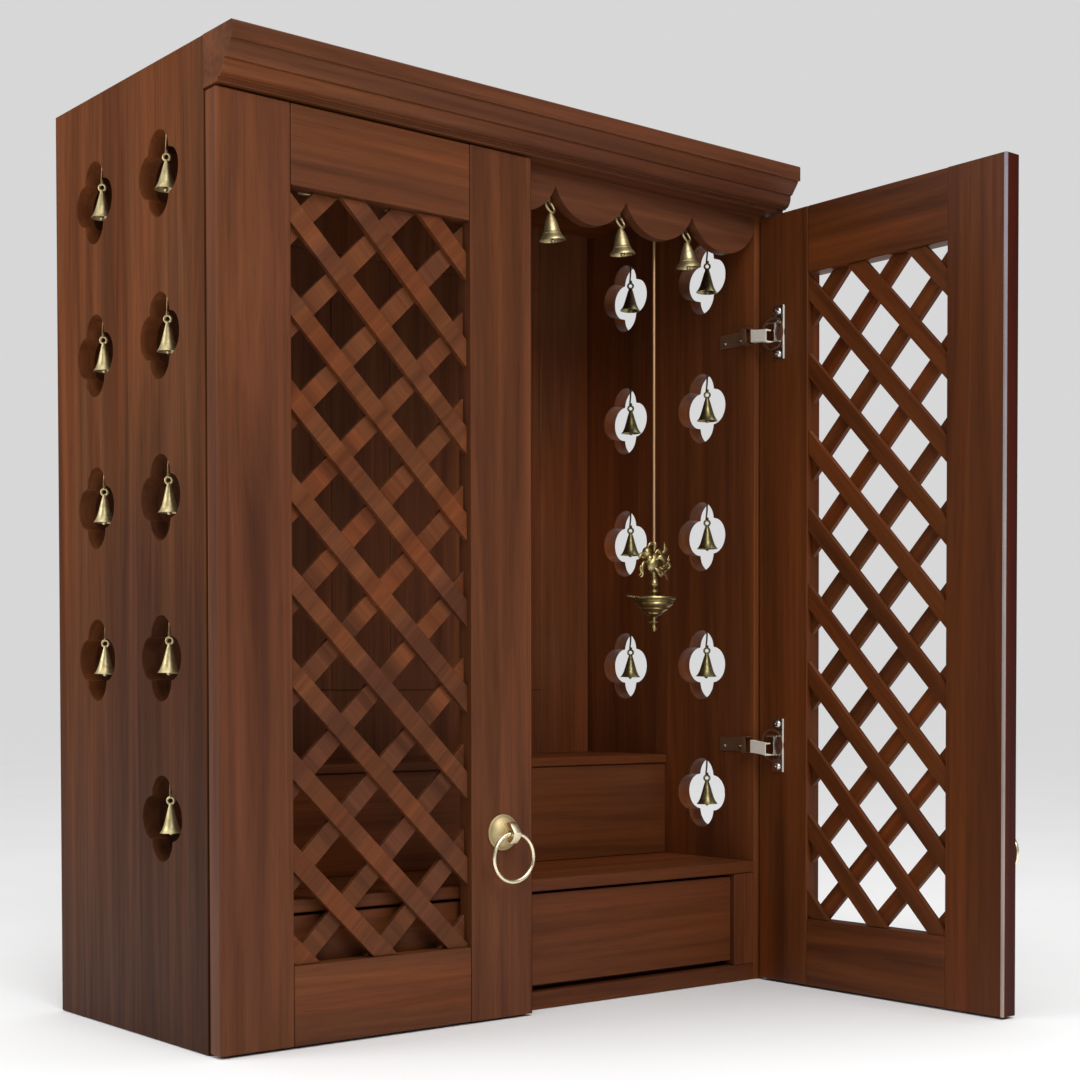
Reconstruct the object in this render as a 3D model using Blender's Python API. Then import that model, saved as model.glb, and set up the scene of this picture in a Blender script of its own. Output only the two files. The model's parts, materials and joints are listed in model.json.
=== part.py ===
"""Household altar cabinet with lattice doors, pierced sides, small bells and a hanging lamp.

Metres, +Z up. The origin is the centre of the footprint on the cabinet's underside. The front faces -Y.
The left door is closed and the right door stands open at a right angle.
"""

import math

import bmesh
import bpy
from mathutils import Matrix, Vector

# Carcass
WIDTH = 0.702
HEIGHT = 0.914
DEPTH = 0.318
PANEL = 0.018
GAP = 0.0003

# Cornice, measured back from its front and down from the top
CORNICE_DEPTH = 0.0545
CORNICE_HEIGHT = 0.0475
FASCIA_HEIGHT = 0.016
SLOPE_STEP_IN = 0.0035
SLOPE_FOOT_IN = 0.013
SLOPE_FOOT_DOWN = 0.0295
CORNICE_GROOVE = 0.001
COVE_FOOT_IN = 0.0225
COVE_FOOT_DOWN = 0.0435
FILLET_IN = 0.0275

# Valance of hanging scallops
VALANCE_THICKNESS = 0.012
VALANCE_CUSP_DROP = 0.046
SCALLOP_COUNT = 7
SCALLOP_DROP = 0.032

# Shelf, step and drawer
DECK_UNDERSIDE = 0.122
DECK_THICKNESS = 0.013
STEP_SETBACK = 0.150
STEP_RISE = 0.118
TREAD_THICKNESS = 0.010
TREAD_NOSING = 0.003
RISER_THICKNESS = 0.012
DRAWER_STILE_WIDTH = 0.030
DRAWER_STILE_DEPTH = 0.018
DRAWER_SIDE_CLEARANCE = 0.0015
DRAWER_TOP_CLEARANCE = 0.003
DRAWER_FOOT_CLEARANCE = 0.006
DRAWER_RECESS = 0.005
DRAWER_FRONT_THICKNESS = 0.018
DRAWER_WALL = 0.010
DRAWER_REAR_CLEARANCE = 0.027
DRAWER_BOX_SIDE_GAP = 0.004
DRAWER_BOX_HEAD_ROOM = 0.014

# Doors
DOOR_THICKNESS = 0.020
DOOR_TO_CARCASS = 0.0035
DOOR_MEETING_GAP = 0.004
DOOR_LIFT = 0.002
DOOR_HEAD_CLEARANCE = 0.0025
STILE_WIDTH = 0.075
RAIL_HEIGHT = 0.074
RIGHT_DOOR_OPEN_DEG = 90.0

# Lattice: its crossings stand on the middle line of the door and half a pitch to each side
SLAT_WIDTH = 0.019
SLAT_THICKNESS = 0.006
LATTICE_PITCH = 0.085
LATTICE_RECESS = 0.002
LATTICE_FIRST_CROSSING = 0.080
LAYER_BITE = 0.0002

# Concealed hinges
PIVOT_FROM_EDGE = 0.0065
PIVOT_FROM_INNER_FACE = 0.0065
HINGE_FROM_TOP = 0.133
HINGE_FROM_BOTTOM = 0.266
CUP_RADIUS = 0.0175
CUP_DEPTH = 0.012
CUP_WALL = 0.0012
CUP_FROM_EDGE = 0.0215
FLANGE_HEIGHT = 0.060
FLANGE_INNER = 0.0165
FLANGE_OUTER = 0.0395
FLANGE_THICKNESS = 0.0015
LINK_WIDTH = 0.015
LINK_DEPTH = 0.0107
LINK_PAST_CUP_CENTRE = 0.0080
LINK_REACH = 0.017
ARM_LENGTH = 0.054
ARM_SETBACK = 0.002
ARM_RISE = 0.012
ARM_CHEEK = 0.0015
ARM_SLOT_CLEARANCE = 0.0006
ARM_SLOT_LENGTH = 0.014

# Ring pulls
PULL_FROM_FREE_EDGE = 0.0375
PULL_HEIGHT = 0.188
ROSETTE_RADIUS = 0.018
ROSETTE_HEIGHT = 0.010
PULL_PROJECTION = 0.019
RING_WIRE = 0.0038
RING_OUTER = 0.052
KNUCKLE_WIDTH = 0.007
KNUCKLE_EYE_CLEARANCE = 0.0008
KNUCKLE_WALL = 0.002

# Quatrefoils in the side panels
LOBE_RADIUS = 0.0205
LOBE_OFFSET = 0.0197
QUATREFOIL_PITCH = 0.150
QUATREFOIL_FROM_TOP = 0.104
FRONT_COLUMN = 0.089
BACK_COLUMN = 0.090
FRONT_ROWS = 5
BACK_ROWS = 4

# Small bells
SIDE_BELL_RADIUS = 0.0103
SIDE_BELL_HEIGHT = 0.0275
SIDE_BELL_HANG = 0.026
VALANCE_BELL_RADIUS = 0.0132
VALANCE_BELL_HEIGHT = 0.029
VALANCE_BELL_HANG = 0.024
VALANCE_BELL_BEHIND_FRONT = 0.0105
VALANCE_BELL_CLEARANCE = 0.001
VALANCE_BELL_TILT_DEG = 6.0
BELL_WALL = 0.0008
BELL_STEM_RADIUS = 0.0009
BELL_EYE_RADIUS = 0.004

# Hanging lamp
LAMP_FROM_SIDE = 0.118
LAMP_BEHIND_FRONT = 0.038
LAMP_ROD_RADIUS = 0.0015
LAMP_ROD_LENGTH = 0.399
LAMP_FIGURE_HEIGHT = 0.045
LAMP_NECK_HEIGHT = 0.022
LAMP_NECK_SINK = 0.004
LAMP_NECK_RADIUS = 0.0022
LAMP_BEAD_RADIUS = 0.0056
LAMP_BOWL_RADIUS = 0.0247
LAMP_BOWL_HEIGHT = 0.021
LAMP_BOWL_WALL = 0.002
LAMP_SPOUT_REACH = 0.012
LAMP_FINIAL_HEIGHT = 0.018

# Places that follow from the sizes above
FRONT = -DEPTH / 2
REAR = DEPTH / 2
INNER = WIDTH / 2 - PANEL
BACK_FACE = REAR - PANEL
DECK_TOP = DECK_UNDERSIDE + DECK_THICKNESS
CORNICE_UNDERSIDE = HEIGHT - CORNICE_HEIGHT
DOOR_WIDTH = (WIDTH - DOOR_MEETING_GAP) / 2
DOOR_TOP = CORNICE_UNDERSIDE - DOOR_HEAD_CLEARANCE
DOOR_INNER_FACE = FRONT - DOOR_TO_CARCASS
DOOR_OUTER_FACE = DOOR_INNER_FACE - DOOR_THICKNESS
PIVOT_X = WIDTH / 2 - PIVOT_FROM_EDGE
PIVOT_Y = DOOR_INNER_FACE - PIVOT_FROM_INNER_FACE
UPPER_HINGE = DOOR_TOP - HINGE_FROM_TOP
LOWER_HINGE = DOOR_LIFT + HINGE_FROM_BOTTOM
CUSP = HEIGHT - PANEL - VALANCE_CUSP_DROP
VALANCE_SPAN = 2 * (INNER - GAP)
SCALLOP_PITCH = VALANCE_SPAN / SCALLOP_COUNT
SCALLOP_RADIUS = (SCALLOP_PITCH ** 2 / 4 + SCALLOP_DROP ** 2) / (2 * SCALLOP_DROP)
SCALLOP_SWEEP = math.atan2(SCALLOP_PITCH / 2, SCALLOP_RADIUS - SCALLOP_DROP)

COLOURS = {
    "wood": ((0.135, 0.060, 0.030), 0.45, 0.0),
    "bell_brass": ((0.62, 0.50, 0.22), 0.30, 1.0),
    "polished_brass": ((0.80, 0.58, 0.22), 0.15, 1.0),
    "antique_brass": ((0.35, 0.26, 0.11), 0.40, 1.0),
    "chrome": ((0.70, 0.70, 0.70), 0.20, 1.0),
}


def material(name, kind):
    """A Principled material of the piece's own, in one of the object's five finishes."""
    colour, roughness, metallic = COLOURS[kind]
    result = bpy.data.materials.new(name)
    result.use_nodes = True
    shader = result.node_tree.nodes["Principled BSDF"]
    shader.inputs["Base Color"].default_value = (*colour, 1.0)
    shader.inputs["Roughness"].default_value = roughness
    shader.inputs["Metallic"].default_value = metallic
    return result


def new_object(name, mesh, kind):
    """Puts a mesh into the scene as a named piece with its own material."""
    piece = bpy.data.objects.new(name, mesh)
    bpy.context.scene.collection.objects.link(piece)
    piece.data.materials.clear()
    piece.data.materials.append(None)
    piece.material_slots[0].link = "OBJECT"
    piece.material_slots[0].material = material(name, kind)
    return piece


def mesh_from(bm, name, smooth_deg=None):
    """Closes a bmesh into a mesh with its faces pointing out."""
    bmesh.ops.recalc_face_normals(bm, faces=bm.faces)
    mesh = bpy.data.meshes.new(name)
    bm.to_mesh(mesh)
    bm.free()
    if smooth_deg is not None:
        mesh.shade_smooth()
        mesh.set_sharp_from_angle(angle=math.radians(smooth_deg))
    return mesh


def box_mesh(name, low, high):
    """A rectangular block between two corners."""
    bm = bmesh.new()
    low, high = Vector(low), Vector(high)
    size = high - low
    place = Matrix.Translation((low + high) / 2) @ Matrix.Diagonal((*size, 1.0))
    bmesh.ops.create_cube(bm, size=1.0, matrix=place)
    return mesh_from(bm, name)


def board(name, low, high, kind="wood"):
    """A plain board, whose origin is its own centre."""
    centre = (Vector(low) + Vector(high)) / 2
    piece = new_object(name, box_mesh(name, Vector(low) - centre, Vector(high) - centre), kind)
    piece.location = centre
    return piece


def plate_mesh(name, loops, thickness, to_space):
    """A flat plate. The first loop is its outline, the others are holes, and to_space gives (x, y, z)."""
    bm = bmesh.new()
    edges = []
    for loop in loops:
        ring = [bm.verts.new((u, v, 0.0)) for u, v in loop]
        edges += [bm.edges.new((a, b)) for a, b in zip(ring, ring[1:] + ring[:1])]
    bmesh.ops.triangle_fill(bm, edges=edges, use_beauty=True)
    extruded = bmesh.ops.extrude_face_region(bm, geom=list(bm.faces))
    moved = [item for item in extruded["geom"] if isinstance(item, bmesh.types.BMVert)]
    bmesh.ops.translate(bm, verts=moved, vec=(0.0, 0.0, thickness))
    for vertex in bm.verts:
        vertex.co = to_space(*vertex.co)
    return mesh_from(bm, name)


def turned_mesh(name, profile, sides, smooth_deg=40):
    """A turned shape about Z, from (radius, height) points that start and end on the axis."""
    bm = bmesh.new()
    points = [bm.verts.new((radius, 0.0, height)) for radius, height in profile]
    edges = [bm.edges.new((a, b)) for a, b in zip(points, points[1:])]
    bmesh.ops.spin(bm, geom=points + edges, cent=(0, 0, 0), axis=(0, 0, 1),
                   angle=math.tau, steps=sides, use_merge=True, use_duplicate=False)
    bmesh.ops.remove_doubles(bm, verts=bm.verts, dist=1e-6)
    return mesh_from(bm, name, smooth_deg)


def combine(piece, tool_mesh, operation):
    """Joins a second closed shape to a piece, cuts it away, or keeps only what both share."""
    tool = bpy.data.objects.new("tool", tool_mesh)
    bpy.context.scene.collection.objects.link(tool)
    tool.matrix_world = piece.matrix_basis.copy()
    modifier = piece.modifiers.new(operation, "BOOLEAN")
    modifier.operation = operation
    modifier.object = tool
    view = bpy.context.evaluated_depsgraph_get()
    result = bpy.data.meshes.new_from_object(piece.evaluated_get(view))
    piece.modifiers.clear()
    piece.data = result
    bpy.data.objects.remove(tool)
    return piece


def arc(centre, radius, start, end, steps):
    """Points along an arc, without its last point."""
    turns = [start + (end - start) * step / steps for step in range(steps)]
    return [(centre[0] + radius * math.cos(turn), centre[1] + radius * math.sin(turn)) for turn in turns]


def quatrefoil(u, v, steps=6):
    """Four overlapping lobes round (u, v), as one closed outline."""
    half_chord = math.sqrt(LOBE_RADIUS ** 2 - LOBE_OFFSET ** 2 / 2)
    cusp = LOBE_OFFSET / 2 + half_chord / math.sqrt(2)
    opening = math.atan2(cusp, cusp - LOBE_OFFSET)
    outline = []
    for lobe in range(4):
        facing = lobe * math.pi / 2
        centre = (u + LOBE_OFFSET * math.cos(facing), v + LOBE_OFFSET * math.sin(facing))
        outline += arc(centre, LOBE_RADIUS, facing - opening, facing + opening, steps)
    return outline


def quatrefoil_centres():
    """The (y, z) places of the quatrefoils, as (column, row, y, z)."""
    places = []
    columns = (("front", FRONT_ROWS, FRONT + FRONT_COLUMN), ("back", BACK_ROWS, REAR - BACK_COLUMN))
    for column, rows, y in columns:
        for row in range(rows):
            places.append((column, row, y, HEIGHT - QUATREFOIL_FROM_TOP - row * QUATREFOIL_PITCH))
    return places


def side_panels():
    outline = [(FRONT, 0.0), (REAR, 0.0), (REAR, HEIGHT), (FRONT, HEIGHT)]
    holes = [quatrefoil(y, z) for _, _, y, z in quatrefoil_centres()]
    middle = INNER + PANEL / 2
    for side, sign in (("left", -1), ("right", 1)):
        mesh = plate_mesh(f"side_{side}", [outline] + holes, PANEL,
                          lambda u, v, w: (w - PANEL / 2, u, v))
        piece = new_object(f"side_{side}", mesh, "wood")
        piece.location.x = sign * middle


def carcass_boards():
    edge = INNER - GAP
    board("bottom_board", (-edge, FRONT, 0.0), (edge, BACK_FACE - GAP, PANEL))
    board("top_board", (-edge, FRONT, HEIGHT - PANEL), (edge, BACK_FACE - GAP, HEIGHT))
    board("back_panel", (-edge, BACK_FACE, 0.0), (edge, REAR, HEIGHT))
    board("deck_board", (-edge, FRONT, DECK_UNDERSIDE), (edge, BACK_FACE - GAP, DECK_TOP))
    step_front = FRONT + STEP_SETBACK
    tread_top = DECK_TOP + STEP_RISE
    tread_foot = tread_top - TREAD_THICKNESS
    riser_front = step_front + TREAD_NOSING
    board("step_tread", (-edge, step_front, tread_foot), (edge, BACK_FACE - GAP, tread_top))
    board("step_riser", (-edge, riser_front, DECK_TOP + GAP),
          (edge, riser_front + RISER_THICKNESS, tread_foot - GAP))


def cornice():
    """A fascia over a slope, a small groove, a cove and a fillet, run across the whole front."""
    nose = -CORNICE_DEPTH
    slope_foot = HEIGHT - SLOPE_FOOT_DOWN
    cove_head = nose + SLOPE_FOOT_IN + CORNICE_GROOVE
    profile = [(-GAP, HEIGHT), (nose, HEIGHT), (nose, HEIGHT - FASCIA_HEIGHT),
               (nose + SLOPE_STEP_IN, HEIGHT - FASCIA_HEIGHT), (nose + SLOPE_FOOT_IN, slope_foot),
               (cove_head, slope_foot)]
    cove_steps = 5
    cove_run = COVE_FOOT_IN - SLOPE_FOOT_IN - CORNICE_GROOVE
    cove_fall = COVE_FOOT_DOWN - SLOPE_FOOT_DOWN
    for step in range(1, cove_steps + 1):
        turn = math.pi / 2 * step / cove_steps
        profile.append((cove_head + cove_run * (1 - math.cos(turn)), slope_foot - cove_fall * math.sin(turn)))
    profile += [(nose + FILLET_IN, HEIGHT - COVE_FOOT_DOWN), (nose + FILLET_IN, CORNICE_UNDERSIDE),
                (-GAP, CORNICE_UNDERSIDE)]
    mesh = plate_mesh("cornice", [profile], WIDTH, lambda u, v, w: (w - WIDTH / 2, u, v))
    piece = new_object("cornice", mesh, "wood")
    piece.location.y = FRONT


def valance():
    """A board whose lower edge hangs in equal round scallops that meet in sharp cusps."""
    start = -math.pi / 2 - SCALLOP_SWEEP
    outline = []
    for index in range(SCALLOP_COUNT):
        middle = (index + 0.5) * SCALLOP_PITCH - VALANCE_SPAN / 2
        centre = (middle, CUSP - SCALLOP_DROP + SCALLOP_RADIUS)
        outline += arc(centre, SCALLOP_RADIUS, start, start + 2 * SCALLOP_SWEEP, 8)
    top = HEIGHT - PANEL - GAP
    outline += [(VALANCE_SPAN / 2, CUSP), (VALANCE_SPAN / 2, top), (-VALANCE_SPAN / 2, top)]
    mesh = plate_mesh("valance", [outline], VALANCE_THICKNESS, lambda u, v, w: (u, w, v))
    piece = new_object("valance", mesh, "wood")
    piece.location.y = FRONT


def drawer_and_stiles():
    """An open drawer box behind its front, and the two stiles that frame it."""
    opening = INNER - DRAWER_STILE_WIDTH
    for side, sign in (("left", -1), ("right", 1)):
        near, far = sorted((sign * opening, sign * (INNER - GAP)))
        board(f"drawer_stile_{side}", (near, FRONT, PANEL + GAP),
              (far, FRONT + DRAWER_STILE_DEPTH, DECK_UNDERSIDE - GAP))
    half = opening - DRAWER_SIDE_CLEARANCE
    face = FRONT + DRAWER_RECESS
    face_back = face + DRAWER_FRONT_THICKNESS
    front_top = DECK_UNDERSIDE - DRAWER_TOP_CLEARANCE
    front = box_mesh("drawer", (-half, face, PANEL + DRAWER_FOOT_CLEARANCE), (half, face_back, front_top))
    piece = new_object("drawer", front, "wood")
    box_half = half - DRAWER_BOX_SIDE_GAP
    box_rear = BACK_FACE - DRAWER_REAR_CLEARANCE
    box_foot = PANEL + GAP
    box_top = front_top - DRAWER_BOX_HEAD_ROOM
    wall = DRAWER_WALL
    tray = box_mesh("tray", (-box_half, face_back - wall / 2, box_foot), (box_half, box_rear, box_top))
    combine(piece, tray, "UNION")
    combine(piece, box_mesh("hollow", (-box_half + wall, face_back, box_foot + wall),
                            (box_half - wall, box_rear - wall, front_top + wall)), "DIFFERENCE")


def slat_mesh(name, direction, low_y, high_y, half_width, foot, head):
    """Parallel diagonal slats of one layer, long enough to pass the whole opening."""
    bm = bmesh.new()
    diagonal = Vector((direction, 0.0, 1.0)).normalized()
    reach = (head - foot) + 2 * half_width
    first = LATTICE_FIRST_CROSSING - LATTICE_PITCH * math.ceil(half_width / LATTICE_PITCH + 1)
    count = math.ceil((head + half_width - first) / LATTICE_PITCH) + 1
    turn = Matrix.Rotation(math.atan2(diagonal.x, diagonal.z), 4, "Y")
    size = Matrix.Diagonal((SLAT_WIDTH, high_y - low_y, 2 * reach, 1.0))
    for index in range(count):
        place = Matrix.Translation((0.0, (low_y + high_y) / 2, first + index * LATTICE_PITCH))
        bmesh.ops.create_cube(bm, size=1.0, matrix=place @ turn @ size)
    return mesh_from(bm, name)


def lattice(prefix, middle_x, pivot):
    """Two layers of crossed slats joined where they cross, trimmed to the door's opening."""
    half_width = DOOR_WIDTH / 2 - STILE_WIDTH
    foot = DOOR_LIFT + RAIL_HEIGHT
    head = DOOR_TOP - RAIL_HEIGHT
    back = DOOR_INNER_FACE - LATTICE_RECESS - pivot.y
    seam = back - SLAT_THICKNESS
    front = seam - SLAT_THICKNESS
    name = f"{prefix}_door_lattice"
    piece = new_object(name, slat_mesh(name, 1, seam - LAYER_BITE, back, half_width, foot, head), "wood")
    combine(piece, slat_mesh("outer_layer", -1, front, seam + LAYER_BITE, half_width, foot, head), "UNION")
    combine(piece, box_mesh("opening", (-half_width + GAP, front - 1.0, foot + GAP),
                            (half_width - GAP, back + 1.0, head - GAP)), "INTERSECT")
    piece.location.x = middle_x - pivot.x
    return piece


def hinge_stile(name, low, high, sign, pivot):
    """A door stile with a round pocket for each hinge cup, drilled from its inner face."""
    piece = new_object(name, box_mesh(name, low, high), "wood")
    cup_x = sign * (PIVOT_FROM_EDGE - CUP_FROM_EDGE)
    inner = DOOR_INNER_FACE - pivot.y
    for height in (UPPER_HINGE, LOWER_HINGE):
        bm = bmesh.new()
        place = Matrix.Translation((cup_x, inner, height)) @ Matrix.Rotation(math.pi / 2, 4, "X")
        bmesh.ops.create_cone(bm, segments=16, radius1=CUP_RADIUS, radius2=CUP_RADIUS,
                              depth=2 * CUP_DEPTH, cap_ends=True, matrix=place)
        combine(piece, mesh_from(bm, "pocket"), "DIFFERENCE")
    return piece


def hinge_cup(name, sign, height, pivot):
    """A cup with a screw flange, and the link that stands out of it towards the arm."""
    cup_x = sign * (PIVOT_FROM_EDGE - CUP_FROM_EDGE)
    inner = DOOR_INNER_FACE - pivot.y + GAP
    outer_radius = CUP_RADIUS - GAP
    floor = inner - CUP_DEPTH
    turn = Matrix.Translation((cup_x, inner, height)) @ Matrix.Rotation(-math.pi / 2, 4, "X")
    profile = [(0.0, -CUP_DEPTH), (outer_radius, -CUP_DEPTH), (outer_radius, FLANGE_THICKNESS),
               (outer_radius - CUP_WALL, FLANGE_THICKNESS), (outer_radius - CUP_WALL, CUP_WALL - CUP_DEPTH),
               (0.0, CUP_WALL - CUP_DEPTH)]
    cup = turned_mesh(name, profile, 16)
    cup.transform(turn)
    near, far = sorted((sign * (PIVOT_FROM_EDGE - FLANGE_INNER), sign * (PIVOT_FROM_EDGE - FLANGE_OUTER)))
    flange = box_mesh("flange", (near, inner, height - FLANGE_HEIGHT / 2),
                      (far, inner + FLANGE_THICKNESS, height + FLANGE_HEIGHT / 2))
    bore = turned_mesh("bore", [(0.0, -CUP_DEPTH / 2), (outer_radius - CUP_WALL / 2, -CUP_DEPTH / 2),
                                (outer_radius - CUP_WALL / 2, CUP_DEPTH), (0.0, CUP_DEPTH)], 16)
    bore.transform(turn)
    piece = new_object(name, flange, "chrome")
    combine(piece, bore, "DIFFERENCE")
    combine(piece, cup, "UNION")
    link_far = PIVOT_FROM_EDGE - CUP_FROM_EDGE - LINK_PAST_CUP_CENTRE
    near, far = sorted((sign * link_far, sign * (link_far + LINK_DEPTH)))
    link = box_mesh("link", (near, floor + CUP_WALL / 2, height - LINK_WIDTH / 2),
                    (far, inner + LINK_REACH, height + LINK_WIDTH / 2))
    combine(piece, link, "UNION")
    return piece


def hinge_arms():
    """The arms screwed to the side panels: solid behind, forked in front to take the links."""
    half = LINK_WIDTH / 2 + ARM_SLOT_CLEARANCE
    front = FRONT + ARM_SETBACK
    slot_end = front + ARM_SLOT_LENGTH
    for side, sign in (("left", -1), ("right", 1)):
        for level, height in (("upper", UPPER_HINGE), ("lower", LOWER_HINGE)):
            name = f"{side}_{level}_hinge_arm"
            near, far = sorted((sign * (INNER - GAP), sign * (INNER - ARM_RISE)))
            piece = new_object(name, box_mesh(name, (near, front, height - half - ARM_CHEEK),
                                              (far, front + ARM_LENGTH, height + half + ARM_CHEEK)), "chrome")
            combine(piece, box_mesh("slot", (near - ARM_RISE, front - ARM_RISE, height - half),
                                    (far + ARM_RISE, slot_end, height + half)), "DIFFERENCE")


def rosette(prefix, pivot, x):
    """A domed rosette with a knuckle, whose cross eye carries the ring."""
    name = f"{prefix}_pull_rosette"
    face = DOOR_OUTER_FACE - GAP - pivot.y
    radius = ROSETTE_RADIUS
    height = ROSETTE_HEIGHT
    eye = RING_WIRE / 2 + KNUCKLE_EYE_CLEARANCE
    knuckle = eye + KNUCKLE_WALL
    profile = [(0.0, 0.0), (radius, 0.0), (radius, height * 0.22), (radius * 0.86, height * 0.45),
               (radius * 0.62, height * 0.62), (radius * 0.40, height * 0.95), (0.0, height)]
    dome = turned_mesh(name, profile, 16)
    dome.transform(Matrix.Translation((x, face, PULL_HEIGHT)) @ Matrix.Rotation(math.pi / 2, 4, "X"))
    piece = new_object(name, dome, "polished_brass")
    post = box_mesh("post", (x - KNUCKLE_WIDTH / 2, face - PULL_PROJECTION, PULL_HEIGHT - knuckle),
                    (x + KNUCKLE_WIDTH / 2, face - height / 2, PULL_HEIGHT + knuckle))
    combine(piece, post, "UNION")
    for operation, size, width in (("UNION", knuckle, KNUCKLE_WIDTH), ("DIFFERENCE", eye, 2 * KNUCKLE_WIDTH)):
        bm = bmesh.new()
        place = (Matrix.Translation((x, face - PULL_PROJECTION, PULL_HEIGHT))
                 @ Matrix.Rotation(math.pi / 2, 4, "Y"))
        bmesh.ops.create_cone(bm, segments=12, radius1=size, radius2=size, depth=width, cap_ends=True,
                              matrix=place)
        combine(piece, mesh_from(bm, "barrel"), operation)
    return piece


def ring_mesh(name):
    """A round ring that hangs in the XZ plane from its own origin, the middle of its top."""
    major = (RING_OUTER - RING_WIRE) / 2
    around = 22
    section = 6
    bm = bmesh.new()
    rings = []
    for index in range(around):
        turn = math.tau * (index + 0.5) / around
        out = Vector((math.sin(turn), 0.0, math.cos(turn)))
        centre = Vector((0.0, 0.0, -major)) + out * major
        ring = []
        for side in range(section):
            angle = math.tau * side / section
            offset = out * math.cos(angle) + Vector((0.0, 1.0, 0.0)) * math.sin(angle)
            ring.append(bm.verts.new(centre + offset * RING_WIRE / 2))
        rings.append(ring)
    for first, second in zip(rings, rings[1:] + rings[:1]):
        for side in range(section):
            after = (side + 1) % section
            bm.faces.new((first[side], first[after], second[after], second[side]))
    return mesh_from(bm, name, 60)


def door(prefix, sign):
    """One door in its closed place, built round an empty on its hinge axis."""
    pivot = Vector((sign * PIVOT_X, PIVOT_Y, 0.0))
    axis = bpy.data.objects.new(f"{prefix}_door_axis", None)
    bpy.context.scene.collection.objects.link(axis)
    axis.location = pivot
    hinge_edge = sign * PIVOT_FROM_EDGE
    free_edge = hinge_edge - sign * DOOR_WIDTH
    inner = DOOR_INNER_FACE - pivot.y
    outer = DOOR_OUTER_FACE - pivot.y
    pieces = []

    def member(kind, x0, x1, z0, z1):
        near, far = sorted((x0, x1))
        low, high = (near, outer, z0), (far, inner, z1)
        name = f"{prefix}_door_{kind}"
        if kind == "hinge_stile":
            pieces.append(hinge_stile(name, low, high, sign, pivot))
        else:
            pieces.append(board(name, low, high))

    stile_inner = hinge_edge - sign * STILE_WIDTH
    free_inner = free_edge + sign * STILE_WIDTH
    rail_near = stile_inner - sign * GAP
    rail_far = free_inner + sign * GAP
    member("hinge_stile", hinge_edge, stile_inner, DOOR_LIFT, DOOR_TOP)
    member("free_stile", free_edge, free_inner, DOOR_LIFT, DOOR_TOP)
    member("top_rail", rail_near, rail_far, DOOR_TOP - RAIL_HEIGHT, DOOR_TOP)
    member("bottom_rail", rail_near, rail_far, DOOR_LIFT, DOOR_LIFT + RAIL_HEIGHT)
    middle = sign * (DOOR_MEETING_GAP + DOOR_WIDTH) / 2
    pieces.append(lattice(prefix, middle, pivot))
    for level, height in (("upper", UPPER_HINGE), ("lower", LOWER_HINGE)):
        pieces.append(hinge_cup(f"{prefix}_{level}_hinge_cup", sign, height, pivot))
    pull_x = free_edge + sign * PULL_FROM_FREE_EDGE
    pieces.append(rosette(prefix, pivot, pull_x))
    for piece in pieces:
        piece.parent = axis
    ring = new_object(f"{prefix}_pull_ring", ring_mesh(f"{prefix}_pull_ring"), "polished_brass")
    ring.location = (pull_x, outer - GAP - PULL_PROJECTION, PULL_HEIGHT)
    ring.parent = axis
    return axis


def bell_mesh(name, radius, height, hang, tilt_deg=0.0):
    """A small open bell, tilted in its eye under a slim pointed stem. The origin is the stem's tip."""
    crown = -hang
    lip = crown - height
    stem = BELL_STEM_RADIUS
    eye = BELL_EYE_RADIUS
    wall = BELL_WALL
    waist = radius * 0.55
    profile = [(0.0, 0.0), (stem, crown + 2 * eye), (eye, crown + eye), (stem, crown),
               (waist, crown - height * 0.60), (radius, lip), (radius - wall, lip),
               (waist - wall, crown - height * 0.60), (0.0, crown - height * 0.15)]
    mesh = turned_mesh(name, profile, 7)
    hung = Vector((0.0, 0.0, crown + eye))
    tilt = Matrix.Rotation(-math.radians(tilt_deg), 3, "Y")
    for vertex in mesh.vertices:
        if vertex.co.z < hung.z - eye / 2:
            vertex.co = hung + tilt @ (vertex.co - hung)
    return mesh


def bells():
    top_of_lobe = LOBE_OFFSET + LOBE_RADIUS - 2 * GAP
    middle = INNER + PANEL / 2
    side_bell = bell_mesh("side_bell", SIDE_BELL_RADIUS, SIDE_BELL_HEIGHT, SIDE_BELL_HANG)
    for side, sign in (("left", -1), ("right", 1)):
        for column, row, y, z in quatrefoil_centres():
            piece = new_object(f"{side}_bell_{column}_{row + 1}", side_bell, "bell_brass")
            piece.location = (sign * middle, y, z + top_of_lobe)
    valance_bell = bell_mesh("valance_bell", VALANCE_BELL_RADIUS, VALANCE_BELL_HEIGHT, VALANCE_BELL_HANG,
                             VALANCE_BELL_TILT_DEG)
    for index in range(SCALLOP_COUNT - 1):
        piece = new_object(f"valance_bell_{index + 1}", valance_bell, "bell_brass")
        x = (index - (SCALLOP_COUNT - 2) / 2) * SCALLOP_PITCH
        piece.location = (x, FRONT + VALANCE_BELL_BEHIND_FRONT, CUSP - VALANCE_BELL_CLEARANCE)


def leaf_mesh(name, length, width, thickness, place):
    """A flat pointed blade with a ridge, for the bird's wings, tail and crest."""
    bm = bmesh.new()
    outline = [(0.0, 0.25), (0.35, 0.5), (0.75, 0.3), (1.0, 0.0), (0.75, -0.3), (0.35, -0.5), (0.0, -0.25)]
    ring = [bm.verts.new((length * u, 0.0, width * v)) for u, v in outline]
    for side in (-1, 1):
        ridge = bm.verts.new((length * 0.4, side * thickness / 2, 0.0))
        for a, b in zip(ring, ring[1:] + ring[:1]):
            bm.faces.new((a, b, ridge))
    mesh = mesh_from(bm, name)
    mesh.transform(place)
    return mesh


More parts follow.
